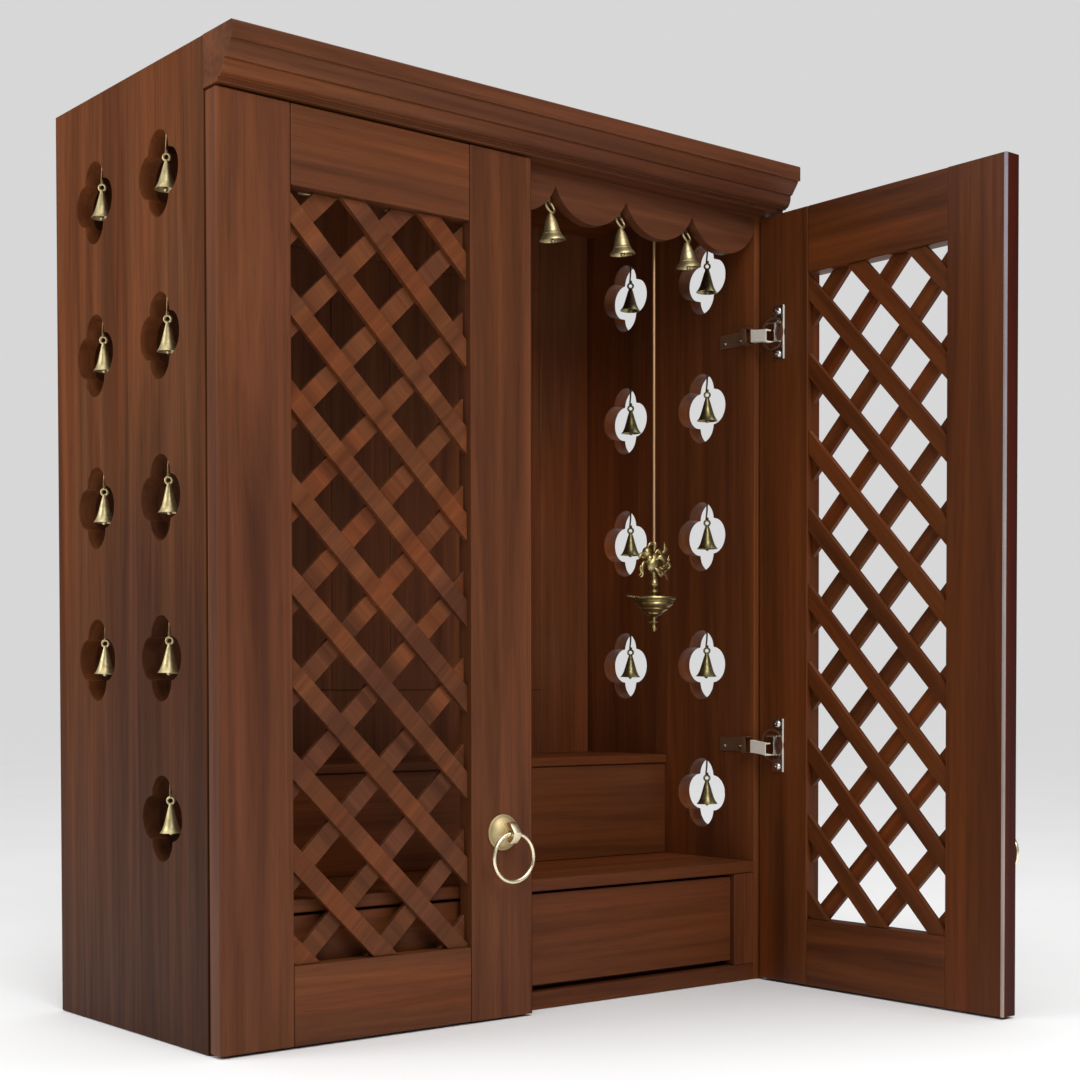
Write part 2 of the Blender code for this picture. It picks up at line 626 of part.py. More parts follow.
def orb_mesh(name, size, place):
    """A low egg shape, for the bird's body and head."""
    bm = bmesh.new()
    bmesh.ops.create_icosphere(bm, subdivisions=2, radius=0.5, matrix=Matrix.Diagonal((*size, 1.0)))
    mesh = mesh_from(bm, name)
    mesh.transform(place)
    return mesh


def hanging_lamp():
    """Rod, bird figure, beaded neck, oil bowl with a spout, and a finial, in one casting."""
    figure_top = -LAMP_ROD_LENGTH
    neck_top = figure_top - LAMP_FIGURE_HEIGHT
    rim = neck_top - LAMP_NECK_HEIGHT + LAMP_NECK_SINK
    bowl_foot = rim - LAMP_BOWL_HEIGHT
    tip = bowl_foot - LAMP_FINIAL_HEIGHT
    rod = LAMP_ROD_RADIUS
    bowl = LAMP_BOWL_RADIUS
    wall = LAMP_BOWL_WALL
    height = LAMP_BOWL_HEIGHT
    depth = height * 0.42
    neck = LAMP_NECK_HEIGHT
    slim = LAMP_NECK_RADIUS
    bead = LAMP_BEAD_RADIUS
    figure = LAMP_FIGURE_HEIGHT
    finial = LAMP_FINIAL_HEIGHT
    profile = [(0.0, 0.0), (rod, 0.0), (rod, figure_top), (rod * 1.6, figure_top - figure * 0.09),
               (rod * 1.6, neck_top + neck * 0.09), (bead * 0.86, neck_top - neck * 0.12),
               (slim, neck_top - neck * 0.38), (bead, neck_top - neck * 0.58),
               (slim * 1.4, neck_top - neck * 0.80),
               (bead * 0.9, rim - depth), (bowl * 0.66, rim - depth), (bowl - wall, rim), (bowl, rim),
               (bowl, rim - height * 0.14), (bowl * 0.80, rim - depth), (bowl * 0.74, rim - height * 0.61),
               (bowl * 0.46, rim - height * 0.70), (bowl * 0.40, bowl_foot + height * 0.14),
               (bead * 0.8, bowl_foot), (slim * 0.9, bowl_foot - finial * 0.17),
               (bead, bowl_foot - finial * 0.39), (slim, bowl_foot - finial * 0.55),
               (slim * 1.25, tip + finial * 0.17), (0.0, tip)]
    mesh = turned_mesh("hanging_lamp", profile, 10)
    for vertex in mesh.vertices:
        out = math.hypot(vertex.co.x, vertex.co.y)
        at_rim = rim - height * 0.17 < vertex.co.z < rim + GAP and out > bowl * 0.85
        if at_rim and vertex.co.x < -out * 0.98:
            vertex.co.x -= LAMP_SPOUT_REACH
    piece = new_object("hanging_lamp", mesh, "antique_brass")
    middle = figure_top - figure / 2

    def at(x, z, turn_deg):
        return (Matrix.Translation((figure * x, 0.0, middle + figure * z))
                @ Matrix.Rotation(math.radians(-turn_deg), 4, "Y"))

    def sized(*shares):
        return tuple(figure * share for share in shares)

    shapes = [
        orb_mesh("body", sized(0.67, 0.36, 0.49), at(0.0, -0.045, -20)),
        orb_mesh("head", sized(0.27, 0.25, 0.29), at(-0.28, 0.18, 0)),
        leaf_mesh("beak", *sized(0.33, 0.14, 0.11), at(-0.28, 0.155, 200)),
        leaf_mesh("tail", *sized(0.58, 0.27, 0.14), at(0.135, 0.02, 8)),
        leaf_mesh("tail_feather", *sized(0.58, 0.20, 0.11), at(0.135, 0.0, 62)),
        leaf_mesh("foot_scroll", *sized(0.45, 0.18, 0.11), at(-0.135, -0.11, 235)),
    ]
    for shape in shapes:
        combine(piece, shape, "UNION")
    piece.location = (INNER - LAMP_FROM_SIDE, FRONT + LAMP_BEHIND_FRONT, HEIGHT - PANEL - GAP)


def build():
    for existing in list(bpy.data.objects):
        bpy.data.objects.remove(existing)
    side_panels()
    carcass_boards()
    cornice()
    valance()
    drawer_and_stiles()
    hinge_arms()
    bells()
    hanging_lamp()
    door("left", -1)
    right_axis = door("right", 1)
    right_axis.rotation_euler.z = math.radians(RIGHT_DOOR_OPEN_DEG)


build()
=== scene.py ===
import json
import math

import bmesh
import bpy
from mathutils import Matrix, Vector
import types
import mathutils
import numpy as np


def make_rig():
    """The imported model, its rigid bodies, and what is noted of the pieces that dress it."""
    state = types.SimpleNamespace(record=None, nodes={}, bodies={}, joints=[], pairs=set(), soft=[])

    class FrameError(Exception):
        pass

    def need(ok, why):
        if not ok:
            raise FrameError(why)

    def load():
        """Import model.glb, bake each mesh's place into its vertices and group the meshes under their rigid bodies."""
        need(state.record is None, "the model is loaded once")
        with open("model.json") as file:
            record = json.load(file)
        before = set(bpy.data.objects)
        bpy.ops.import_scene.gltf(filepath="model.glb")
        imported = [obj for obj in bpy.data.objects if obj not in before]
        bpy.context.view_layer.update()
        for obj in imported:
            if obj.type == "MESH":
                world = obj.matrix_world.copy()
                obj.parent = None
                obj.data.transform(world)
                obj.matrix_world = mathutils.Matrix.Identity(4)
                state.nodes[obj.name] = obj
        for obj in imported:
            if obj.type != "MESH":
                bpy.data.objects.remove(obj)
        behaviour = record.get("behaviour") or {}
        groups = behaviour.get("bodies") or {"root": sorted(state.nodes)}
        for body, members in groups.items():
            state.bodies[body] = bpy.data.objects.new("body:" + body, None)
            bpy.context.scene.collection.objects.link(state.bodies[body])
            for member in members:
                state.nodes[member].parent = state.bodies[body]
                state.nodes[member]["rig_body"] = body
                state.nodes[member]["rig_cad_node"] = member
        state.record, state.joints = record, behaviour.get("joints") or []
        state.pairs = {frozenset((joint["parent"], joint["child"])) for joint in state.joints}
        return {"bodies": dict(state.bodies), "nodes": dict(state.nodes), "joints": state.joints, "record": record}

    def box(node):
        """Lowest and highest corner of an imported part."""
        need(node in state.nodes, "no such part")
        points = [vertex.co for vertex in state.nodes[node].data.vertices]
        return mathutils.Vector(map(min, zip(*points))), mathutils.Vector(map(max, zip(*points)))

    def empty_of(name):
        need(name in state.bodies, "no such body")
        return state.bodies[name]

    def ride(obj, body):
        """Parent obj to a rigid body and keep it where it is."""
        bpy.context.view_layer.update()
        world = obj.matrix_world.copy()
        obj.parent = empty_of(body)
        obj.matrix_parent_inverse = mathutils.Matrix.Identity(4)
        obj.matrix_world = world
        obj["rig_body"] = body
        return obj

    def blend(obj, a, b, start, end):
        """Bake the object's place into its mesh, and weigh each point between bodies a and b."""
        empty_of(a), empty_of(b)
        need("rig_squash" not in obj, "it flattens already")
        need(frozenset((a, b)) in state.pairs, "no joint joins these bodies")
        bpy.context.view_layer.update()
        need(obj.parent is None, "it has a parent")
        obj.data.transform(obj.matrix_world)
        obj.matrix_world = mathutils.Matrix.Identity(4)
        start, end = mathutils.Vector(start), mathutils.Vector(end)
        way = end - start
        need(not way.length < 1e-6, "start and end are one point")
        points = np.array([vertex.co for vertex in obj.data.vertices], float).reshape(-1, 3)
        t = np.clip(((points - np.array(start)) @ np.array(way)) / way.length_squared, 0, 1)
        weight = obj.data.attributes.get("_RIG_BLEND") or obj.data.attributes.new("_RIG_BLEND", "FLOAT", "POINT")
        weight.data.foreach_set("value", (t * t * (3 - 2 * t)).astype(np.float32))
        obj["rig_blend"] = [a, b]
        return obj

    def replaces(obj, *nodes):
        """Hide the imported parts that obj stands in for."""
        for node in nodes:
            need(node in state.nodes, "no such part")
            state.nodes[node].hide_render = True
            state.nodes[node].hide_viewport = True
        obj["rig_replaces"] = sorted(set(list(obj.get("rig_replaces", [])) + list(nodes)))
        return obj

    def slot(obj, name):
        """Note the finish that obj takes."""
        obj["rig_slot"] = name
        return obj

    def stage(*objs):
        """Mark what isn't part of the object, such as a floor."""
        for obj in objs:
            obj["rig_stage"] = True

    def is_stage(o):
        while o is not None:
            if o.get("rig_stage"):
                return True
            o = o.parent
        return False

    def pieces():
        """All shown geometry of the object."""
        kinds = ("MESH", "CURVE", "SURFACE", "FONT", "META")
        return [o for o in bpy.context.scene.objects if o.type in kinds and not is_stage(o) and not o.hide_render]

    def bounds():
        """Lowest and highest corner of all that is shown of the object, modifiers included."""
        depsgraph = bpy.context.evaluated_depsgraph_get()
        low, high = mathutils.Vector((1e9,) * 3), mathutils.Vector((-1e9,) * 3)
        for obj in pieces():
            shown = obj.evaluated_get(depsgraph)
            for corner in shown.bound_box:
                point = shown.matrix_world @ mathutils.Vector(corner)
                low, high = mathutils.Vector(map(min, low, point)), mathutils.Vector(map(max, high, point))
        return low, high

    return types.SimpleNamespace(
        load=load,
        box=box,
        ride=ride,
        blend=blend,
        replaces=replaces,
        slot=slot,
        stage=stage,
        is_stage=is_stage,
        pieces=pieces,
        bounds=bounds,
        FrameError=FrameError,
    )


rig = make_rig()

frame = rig.load()
cad_bounds = [list(corner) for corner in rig.bounds()]

# Camera, at the photograph's viewpoint
CAMERA_PLACE = (-1.1402, -1.6800, 0.3304)
CAMERA_YAW_DEG = 40.8141
CAMERA_PITCH_DEG = -1.3886
CAMERA_LENS = 61.833
CAMERA_SHIFT = (-0.1000, 0.1804)

# Studio: ambient light, backdrop, overhead sun, and soft panels with their place, target, size and power
AMBIENT = 0.17
BACKDROP = 0.68
TOP_SUN = 2.0
PANELS = (
    ("left_panel_light", (-2.3, 0.7, 1.3), (-0.35, 0.0, 0.60), 1.2, 23.0),
    ("front_panel_light", (-0.6, -2.2, 2.1), (-0.1, -0.2, 0.5), 1.6, 46.0),
)

# Rounding of edges
BOARD_EDGE = 0.0009
SHELF_EDGE = 0.0018
DOOR_EDGE = 0.0014
SLAT_EDGE = 0.0006
STILE_EDGE = 0.0012
GROOVE = 0.0016

# Scallops of the valance
SCALLOPS = 7
SCALLOP_DROP = 0.032

# Quatrefoils of the side panels. Each column has its distance from the front edge and its number of rows.
LOBE_RADIUS = 0.0205
LOBE_OFFSET = 0.0197
QUATREFOIL_PITCH = 0.150
QUATREFOIL_FROM_TOP = 0.104
COLUMNS = {"front": (0.089, 5), "back": (0.228, 4)}

# Drawer
DRAWER_FRONT = 0.018
DRAWER_FOOT_CLEARANCE = 0.006
DRAWER_WALL = 0.010
DRAWER_BOX_SIDE_GAP = 0.004
DRAWER_BOX_HEAD_ROOM = 0.014

# Lattices. The rows of slats start below the door's opening and end above it, and are trimmed to it.
SLAT_WIDTH = 0.019
LATTICE_PITCH = 0.085
LATTICE_FIRST = 0.080
SLATS_BELOW_FIRST = 4
SLATS_PER_LAYER = 20

# Bells
SIDE_BELL_HEIGHT = 0.0275
SIDE_BELL_MOUTH = {"left": 0.0106, "right": 0.0124}
SIDE_BELL_EYE_RISE = 0.0040
VALANCE_BELL_HEIGHT = 0.0285
VALANCE_BELL_MOUTH = 0.0138
VALANCE_BELL_DROP = 0.0240

# Hanging lamp
LAMP_X = 0.215
LAMP_SETBACK = 0.038
LAMP_ROD_RADIUS = 0.0015
LAMP_FINIAL = 0.018
LAMP_BOWL = 0.021
LAMP_NECK_BITE = 0.004
LAMP_NECK = 0.022
LAMP_FIGURE = 0.045

# Ring pulls
ROSETTE_RADIUS = 0.018
KNUCKLE_WIDTH = 0.0092
KNUCKLE_HOLE_OUT = 0.0190
KNUCKLE_HOLE_RADIUS = 0.0030
RING_RADIUS = 0.0241
RING_WIRE = 0.0021

# Hinges
ARM_PLATE = 0.0010
ARM_HALF_WIDTH = 0.0081
ARM_CHEEK_OUT = 0.0096
ARM_HEIGHT = 0.0085
ARM_NOSE = 0.0105
ARM_SCREWS = (0.0186, 0.0450)
CUP_FLANGE_RISE = 0.0117
CUP_FROM_EDGE = 0.0215
CLOSED_HINGE_EDGE = 0.351
OPEN_HINGE_EDGE = -0.1625
LINK_REACH = {"left": (0.0185, 0.0295), "right": (0.0024, 0.0268)}
LINK_SPANS = 10
LINK_HALF_WIDTH = 0.0067
LINK_TOP = 0.0168
LINK_SKIRT = 0.0085
LINK_WALL = 0.0012

# The turn that lays each grain direction along x
GRAIN_TURN = {
    "x": (0.0, 0.0, 0.0),
    "y": (0.0, 0.0, -math.pi / 2),
    "z": (0.0, math.pi / 2, 0.0),
}


# Materials

def principled(name):
    """A new node material, with its tree and its shader."""
    result = bpy.data.materials.new(name)
    result.use_nodes = True
    return result, result.node_tree, result.node_tree.nodes["Principled BSDF"]


def noise(tree, vector, scale, detail=4.0, rough=0.55, distortion=0.0):
    node = tree.nodes.new("ShaderNodeTexNoise")
    node.inputs["Scale"].default_value = scale
    node.inputs["Detail"].default_value = detail
    node.inputs["Roughness"].default_value = rough
    node.inputs["Distortion"].default_value = distortion
    tree.links.new(vector, node.inputs["Vector"])
    return node.outputs["Fac"]


def ramp(tree, factor, stops):
    node = tree.nodes.new("ShaderNodeValToRGB")
    elements = node.color_ramp.elements
    while len(elements) < len(stops):
        elements.new(0.5)
    for element, (place, colour) in zip(elements, stops):
        element.position = place
        element.color = (*colour, 1.0)
    tree.links.new(factor, node.inputs["Fac"])
    return node.outputs["Color"]


def mapping(tree, vector, rotation=(0, 0, 0), scale=(1, 1, 1), location=(0, 0, 0)):
    node = tree.nodes.new("ShaderNodeMapping")
    node.inputs["Rotation"].default_value = rotation
    node.inputs["Scale"].default_value = scale
    node.inputs["Location"].default_value = location
    tree.links.new(vector, node.inputs["Vector"])
    return node.outputs["Vector"]


def mix(tree, kind, factor, first, second):
    node = tree.nodes.new("ShaderNodeMix")
    node.data_type = "RGBA"
    node.blend_type = kind
    for socket, value in ((node.inputs["Factor"], factor), (node.inputs[6], first), (node.inputs[7], second)):
        if isinstance(value, bpy.types.NodeSocket):
            tree.links.new(value, socket)
        else:
            socket.default_value = value
    return node.outputs[2]


def remap(tree, value, low, high, from_low=0.0, from_high=1.0):
    node = tree.nodes.new("ShaderNodeMapRange")
    node.inputs["From Min"].default_value = from_low
    node.inputs["From Max"].default_value = from_high
    node.inputs["To Min"].default_value = low
    node.inputs["To Max"].default_value = high
    tree.links.new(value, node.inputs["Value"])
    return node.outputs["Result"]


def bump(tree, height, strength, distance, before=None):
    node = tree.nodes.new("ShaderNodeBump")
    node.inputs["Strength"].default_value = strength
    node.inputs["Distance"].default_value = distance
    tree.links.new(height, node.inputs["Height"])
    if before is not None:
        tree.links.new(before, node.inputs["Normal"])
    return node.outputs["Normal"]


# Tones of the wood for each part, as shares of its own red, green and blue; some of them are painted light and shade,
# as noted at each
OUTSIDE = (0.97, 0.97, 0.97)
# Painted sheen: the left side, which faces the left lamp, is toned greyer, as the sheen of that light on it looks
LEFT_SIDE_SHEEN = (0.92, 1.02, 1.10)
# Painted shade: the inside of the cabinet is toned deeper and warmer, as it looks in its own shade
INSIDE_SHADE = (0.98, 0.88, 0.70)
# Painted reflection: the back is toned lighter and bluer, as the light reflected in its lacquer looks
BACK_SHEEN = (1.06, 1.06, 1.10)
VALANCE = (1.12, 1.18, 1.22)
# Painted shade: the open door, turned away from the light, is toned darker
OPEN_DOOR_SHADE = (0.84, 0.72, 0.50)
EDGE_BAND = (0.42, 0.15, 0.06)

# The share of its tone that the left side keeps at its foot, as painted shade darker towards the floor, and the shine
# of the lacquer
SIDE_FOOT_SHADE = 0.50
LACQUER_SHINE = 0.14
SIDE_SHINE = 0.05

WOODS = {}


def wood(grain, seed=0, tone=OUTSIDE, foot=1.0):
    """Dark stained wood under satin lacquer, with its grain along x, y or z, or turned by three angles.

    foot is the share of its tone that the wood keeps at the foot of the cabinet: painted shade, darker towards
    the floor as less light falls there. A board that fades to its foot is also duller.
    """
    key = (grain, seed, tone, foot)
    if key in WOODS:
        return WOODS[key]
    # tinge gives each colour the part's tone, which for some parts is painted light and shade
    tinge = lambda *colour: tuple(part * share for part, share in zip(colour, tone))
    result, tree, shader = principled(f"wood_{str(grain).replace('-', 'm').replace('.', '_')}_{seed}")
    place = tree.nodes.new("ShaderNodeTexCoord").outputs["Object"]
    turn = GRAIN_TURN[grain] if isinstance(grain, str) else grain
    along = mapping(tree, place, rotation=turn)
    shift = (seed * 3.7, seed * 1.9, seed * 5.3)
    broad = noise(tree, mapping(tree, along, scale=(1.1, 9.0, 9.0), location=shift), 1.0, 3.0, 0.5, 0.6)
    figure = noise(tree, mapping(tree, along, scale=(1.3, 27.0, 27.0), location=shift), 1.0, 5.0, 0.6, 1.1)
    streak = noise(tree, mapping(tree, along, scale=(5.0, 190.0, 190.0), location=shift), 1.0, 4.0, 0.6, 0.3)
    pores = noise(tree, mapping(tree, along, scale=(26.0, 1150.0, 1150.0), location=shift), 1.0, 2.0, 0.5)
    base = ramp(tree, figure, [
        (0.32, tinge(0.080, 0.0250, 0.0088)),
        (0.45, tinge(0.114, 0.0365, 0.0127)),
        (0.57, tinge(0.142, 0.0460, 0.0162)),
        (0.70, tinge(0.178, 0.0575, 0.0200))])
    hue = ramp(tree, broad, [
        (0.36, (0.85, 0.84, 1.05)),
        (0.50, (1.0, 1.0, 1.0)),
        (0.64, (1.18, 0.98, 0.84))])
    fibre = ramp(tree, streak, [
        (0.30, (0.80, 0.78, 0.78)),
        (0.55, (1.0, 1.0, 1.0)),
        (0.75, (1.10, 1.08, 1.05))])
    pitting = ramp(tree, pores, [(0.30, (0.72, 0.68, 0.66)), (0.42, (1.0, 1.0, 1.0))])
    colour = mix(tree, "MULTIPLY", 1.0, base, hue)
    colour = mix(tree, "MULTIPLY", 1.0, colour, fibre)
    colour = mix(tree, "MULTIPLY", 0.8, colour, pitting)
    # Painted shade: the colour darkens towards the foot, as less light falls there
    if foot < 1.0:
        height = tree.nodes.new("ShaderNodeSeparateXYZ")
        tree.links.new(place, height.inputs["Vector"])
        foot_shade = ramp(tree, height.outputs["Z"], [
            (0.0, (foot, foot * 0.92, foot * 0.86)),
            (0.62, (1.0, 1.0, 1.0))])
        colour = mix(tree, "MULTIPLY", 1.0, colour, foot_shade)
    tree.links.new(colour, shader.inputs["Base Color"])
    tree.links.new(remap(tree, streak, 0.50, 0.36, 0.3, 0.7), shader.inputs["Roughness"])
    normal = bump(tree, streak, 0.10, 0.0006)
    normal = bump(tree, pores, 0.16, 0.0002, normal)
    tree.links.new(normal, shader.inputs["Normal"])
    shader.inputs["Specular IOR Level"].default_value = LACQUER_SHINE if foot == 1.0 else SIDE_SHINE
    WOODS[key] = result
    return result


def metal(name, bright, dull, rough, patina=0.5, speckle=220.0, share=1.0):
    """Worn metal: dull in patches, and dark in the hollows. share is how metallic it is."""
    result, tree, shader = principled(name)
    place = tree.nodes.new("ShaderNodeTexCoord").outputs["Object"]
    patch = noise(tree, place, speckle, 5.0, 0.6, 0.4)
    fine = noise(tree, place, speckle * 9, 3.0, 0.5)
    hollow = tree.nodes.new("ShaderNodeNewGeometry").outputs["Pointiness"]
    tinge = remap(tree, patch, patina, 0.0, 0.36, 0.62)
    colour = mix(tree, "MIX", tinge, (*bright, 1.0), (*dull, 1.0))
    cavity = remap(tree, hollow, 0.85, 0.0, 0.40, 0.50)
    colour = mix(tree, "MIX", cavity, colour, (*[0.5 * part for part in dull], 1.0))
    tree.links.new(colour, shader.inputs["Base Color"])
    shader.inputs["Metallic"].default_value = share
    tree.links.new(remap(tree, patch, rough + 0.12, rough, 0.35, 0.65), shader.inputs["Roughness"])
    tree.links.new(bump(tree, fine, 0.06, 0.0002), shader.inputs["Normal"])
    return result


def floor_material():
    result, tree, shader = principled("pale_floor")
    place = tree.nodes.new("ShaderNodeTexCoord").outputs["Object"]
    tone = ramp(tree, noise(tree, place, 3.0), [(0.3, (0.89, 0.89, 0.89)), (0.7, (0.91, 0.91, 0.91))])
    tree.links.new(tone, shader.inputs["Base Color"])
    shader.inputs["Roughness"].default_value = 0.7
    return result


# Mesh helpers

def add_box(bm, low, high):
    low, high = Vector(low), Vector(high)
    place = Matrix.Translation((low + high) / 2) @ Matrix.Diagonal((*(high - low), 1.0))
    return bmesh.ops.create_cube(bm, size=1.0, matrix=place)["verts"]


def add_plate(bm, loops, thickness, to_space, material_index=0):
    """A flat plate with holes: the first loop is the outline. to_space turns (u, v, w) into (x, y, z)."""
    edges = []
    for loop in loops:
        ring = [bm.verts.new((u, v, 0.0)) for u, v in loop]
        edges += [bm.edges.new((a, b)) for a, b in zip(ring, ring[1:] + ring[:1])]
    filled = bmesh.ops.triangle_fill(bm, edges=edges, use_beauty=True)
    faces = [item for item in filled["geom"] if isinstance(item, bmesh.types.BMFace)]
    flat = {vertex for face in faces for vertex in face.verts}
    extruded = bmesh.ops.extrude_face_region(bm, geom=faces)["geom"]
    moved = [item for item in extruded if isinstance(item, bmesh.types.BMVert)]
    bmesh.ops.translate(bm, verts=moved, vec=(0.0, 0.0, thickness))
    for vertex in flat | set(moved):
        vertex.co = to_space(*vertex.co)
        for face in vertex.link_faces:
            face.material_index = material_index


def add_turned(bm, profile, place=Matrix.Identity(4), sides=32):
    """A turned shape from (radius, height) points that start and end on the axis."""
    rings = []
    for radius, height in profile:
        if radius < 1e-7:
            rings.append([bm.verts.new(place @ Vector((0.0, 0.0, height)))])
        else:
            turns = [math.tau * side / sides for side in range(sides)]
            rings.append([bm.verts.new(place @ Vector((radius * math.cos(t), radius * math.sin(t), height)))
                          for t in turns])
    for first, second in zip(rings, rings[1:]):
        for side in range(sides):
            after = (side + 1) % sides
            corners = [first[side % len(first)], second[side % len(second)],
                       second[after % len(second)], first[after % len(first)]]
            bm.faces.new(list(dict.fromkeys(corners)))


def smooth_path(points, per_span=6, closed=False):
    """Points on a Catmull-Rom curve through the given ones."""
    points = [Vector(point) for point in points]
    count = len(points)
    spans = count if closed else count - 1
    result = []
    for index in range(spans):
        if closed:
            a, b, c, d = (points[(index + step) % count] for step in (-1, 0, 1, 2))
        else:
            b, c = points[index], points[index + 1]
            a = points[index - 1] if index else b * 2 - c
            d = points[index + 2] if index + 2 < count else c * 2 - b
        for step in range(per_span):
            t = step / per_span
            result.append(0.5 * (2 * b + (c - a) * t + (2 * a - 5 * b + 4 * c - d) * t * t
                                 + (3 * b - a - 3 * c + d) * t ** 3))
    if not closed:
        result.append(points[-1])
    return result


def add_tube(bm, path, radius, sides=10, closed=False, flatten=1.0):
    """A round or flattened bar along a path. radius is a number, or a function of 0 to 1 along it."""
    count = len(path)
    width = radius if callable(radius) else (lambda share: radius)
    up = Vector((0.0, 1.0, 0.0))
    rings = []
    for index, point in enumerate(path):
        if closed:
            ahead = path[(index + 1) % count] - path[index - 1]
        else:
            ahead = path[min(index + 1, count - 1)] - path[max(index - 1, 0)]
        ahead.normalize()
        side = ahead.cross(up)
        if side.length < 1e-3:
            side = ahead.cross(Vector((0.0, 0.0, 1.0)))
        side.normalize()
        up = side.cross(ahead).normalized()
        size = width(index / max(count - 1, 1))
        ring = []
        for turn in range(sides):
            angle = math.tau * turn / sides
            ring.append(bm.verts.new(point + side * math.cos(angle) * size
                                     + up * math.sin(angle) * size * flatten))
        rings.append(ring)
    pairs = list(zip(rings, rings[1:]))
    if closed:
        pairs.append((rings[-1], rings[0]))
    for first, second in pairs:
        for turn in range(sides):
            after = (turn + 1) % sides
            bm.faces.new((first[turn], first[after], second[after], second[turn]))
    if not closed:
        bm.faces.new(rings[0])
        bm.faces.new(rings[-1])


def circle_path(centre, radius, first_axis, second_axis, count=48):
    centre, first_axis, second_axis = Vector(centre), Vector(first_axis), Vector(second_axis)
    turns = [math.tau * index / count for index in range(count)]
    return [centre + (first_axis * math.cos(turn) + second_axis * math.sin(turn)) * radius for turn in turns]


def paint_new(bm, known, material_index):
    """Gives a material to every face that is not among the known ones, and returns all faces."""
    for face in bm.faces:
        if face not in known:
            face.material_index = material_index
    return set(bm.faces)


def add_orb(bm, size, place, rings=12):
    """An ellipsoid of the given three sizes."""
    turns = [math.pi * i / rings for i in range(rings + 1)]
    profile = [(0.5 * math.sin(turn), -0.5 * math.cos(turn)) for turn in turns]
    profile[0] = (0.0, -0.5)
    profile[-1] = (0.0, 0.5)
    add_turned(bm, profile, place @ Matrix.Diagonal((*size, 1.0)), 2 * rings)


def finish_piece(bm, name, body, nodes, materials, slot, bevel=0.0, sharp_deg=35.0, weld=True):
    """Turns a bmesh into a piece that rides on a body, if one is given, and stands for the given nodes."""
    if weld:
        bmesh.ops.remove_doubles(bm, verts=bm.verts, dist=1e-6)
    bmesh.ops.recalc_face_normals(bm, faces=bm.faces)
    mesh = bpy.data.meshes.new(name)
    bm.to_mesh(mesh)
    bm.free()
    piece = bpy.data.objects.new(name, mesh)
    bpy.context.scene.collection.objects.link(piece)
    for each in materials:
        mesh.materials.append(each)
    mesh.shade_smooth()
    mesh.set_sharp_from_angle(angle=math.radians(sharp_deg))
    if bevel:
        rounding = piece.modifiers.new("rounding", "BEVEL")
        rounding.width = bevel
        rounding.segments = 3
        rounding.limit_method = "ANGLE"
        rounding.angle_limit = math.radians(40)
        rounding.harden_normals = True
    if body:
        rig.ride(piece, body)
    if nodes:
        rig.replaces(piece, *nodes)
    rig.slot(piece, slot)
    return piece


def wooden_boxes(name, node, body, boxes, grain, seed=0, tone=OUTSIDE, edge=BOARD_EDGE):
    """A board made of one or more blocks, whose meeting edges leave the grooves."""
    bm = bmesh.new()
    for low, high in boxes:
        add_box(bm, low, high)
    return finish_piece(bm, name, body, [node], [wood(grain, seed, tone)], "wood", bevel=edge, weld=False)


def wooden_board(node, body, grain, seed=0, tone=OUTSIDE, edge=BOARD_EDGE):
    return wooden_boxes(f"{node}_board", node, body, [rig.box(node)], grain, seed, tone, edge)


# Carcass

def arc(centre, radius, start, end, steps):
    turns = [start + (end - start) * step / steps for step in range(steps)]
    return [(centre[0] + radius * math.cos(turn), centre[1] + radius * math.sin(turn)) for turn in turns]


def quatrefoil(u, v, steps=18):
    half_chord = math.sqrt(LOBE_RADIUS ** 2 - LOBE_OFFSET ** 2 / 2)
    cusp = LOBE_OFFSET / 2 + half_chord / math.sqrt(2)
    opening = math.atan2(cusp, cusp - LOBE_OFFSET)
    outline = []
    for lobe in range(4):
        facing = lobe * math.pi / 2
        centre = (u + LOBE_OFFSET * math.cos(facing), v + LOBE_OFFSET * math.sin(facing))
        outline += arc(centre, LOBE_RADIUS, facing - opening, facing + opening, steps)
    return outline


def side_panel(side, seed):
    low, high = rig.box(f"side_{side}")
    holes = []
    for setback, rows in COLUMNS.values():
        for row in range(rows):
            holes.append(quatrefoil(low.y + setback, high.z - QUATREFOIL_FROM_TOP - row * QUATREFOIL_PITCH))
    outline = [(low.y, low.z), (high.y, low.z), (high.y, high.z), (low.y, high.z)]
    bm = bmesh.new()
    add_plate(bm, [outline] + holes, high.x - low.x, lambda u, v, w: (low.x + w, u, v))
    # The left side takes the painted sheen and the painted shade at its foot; the right side, seen from inside, takes
    # the painted shade of the inside
    tone, foot = (LEFT_SIDE_SHEEN, SIDE_FOOT_SHADE) if side == "left" else (INSIDE_SHADE, 1.0)
    finish_piece(bm, f"side_{side}_panel", "cabinet", [f"side_{side}"], [wood("z", seed, tone, foot)], "wood",
                 bevel=BOARD_EDGE, sharp_deg=30)


def back_panel():
    """The back, with fine grooves where its boards meet: a frame round three tall panels."""
    low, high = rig.box("back_panel")
    sides = 0.257
    post = 0.039
    foot = 0.330
    head = 0.822
    columns = [-sides, -post, post, sides]
    boxes = [((low.x, low.y, low.z), (-sides, high.y, high.z)),
             ((sides, low.y, low.z), (high.x, high.y, high.z)),
             ((-sides, low.y, low.z), (sides, high.y, foot)),
             ((-sides, low.y, head), (sides, high.y, high.z))]
    boxes += [((left, low.y, foot), (right, high.y, head)) for left, right in zip(columns, columns[1:])]
    # The back takes the painted reflection of its tone
    wooden_boxes("back_panel_boards", "back_panel", "cabinet", boxes, "z", 5, BACK_SHEEN, GROOVE)


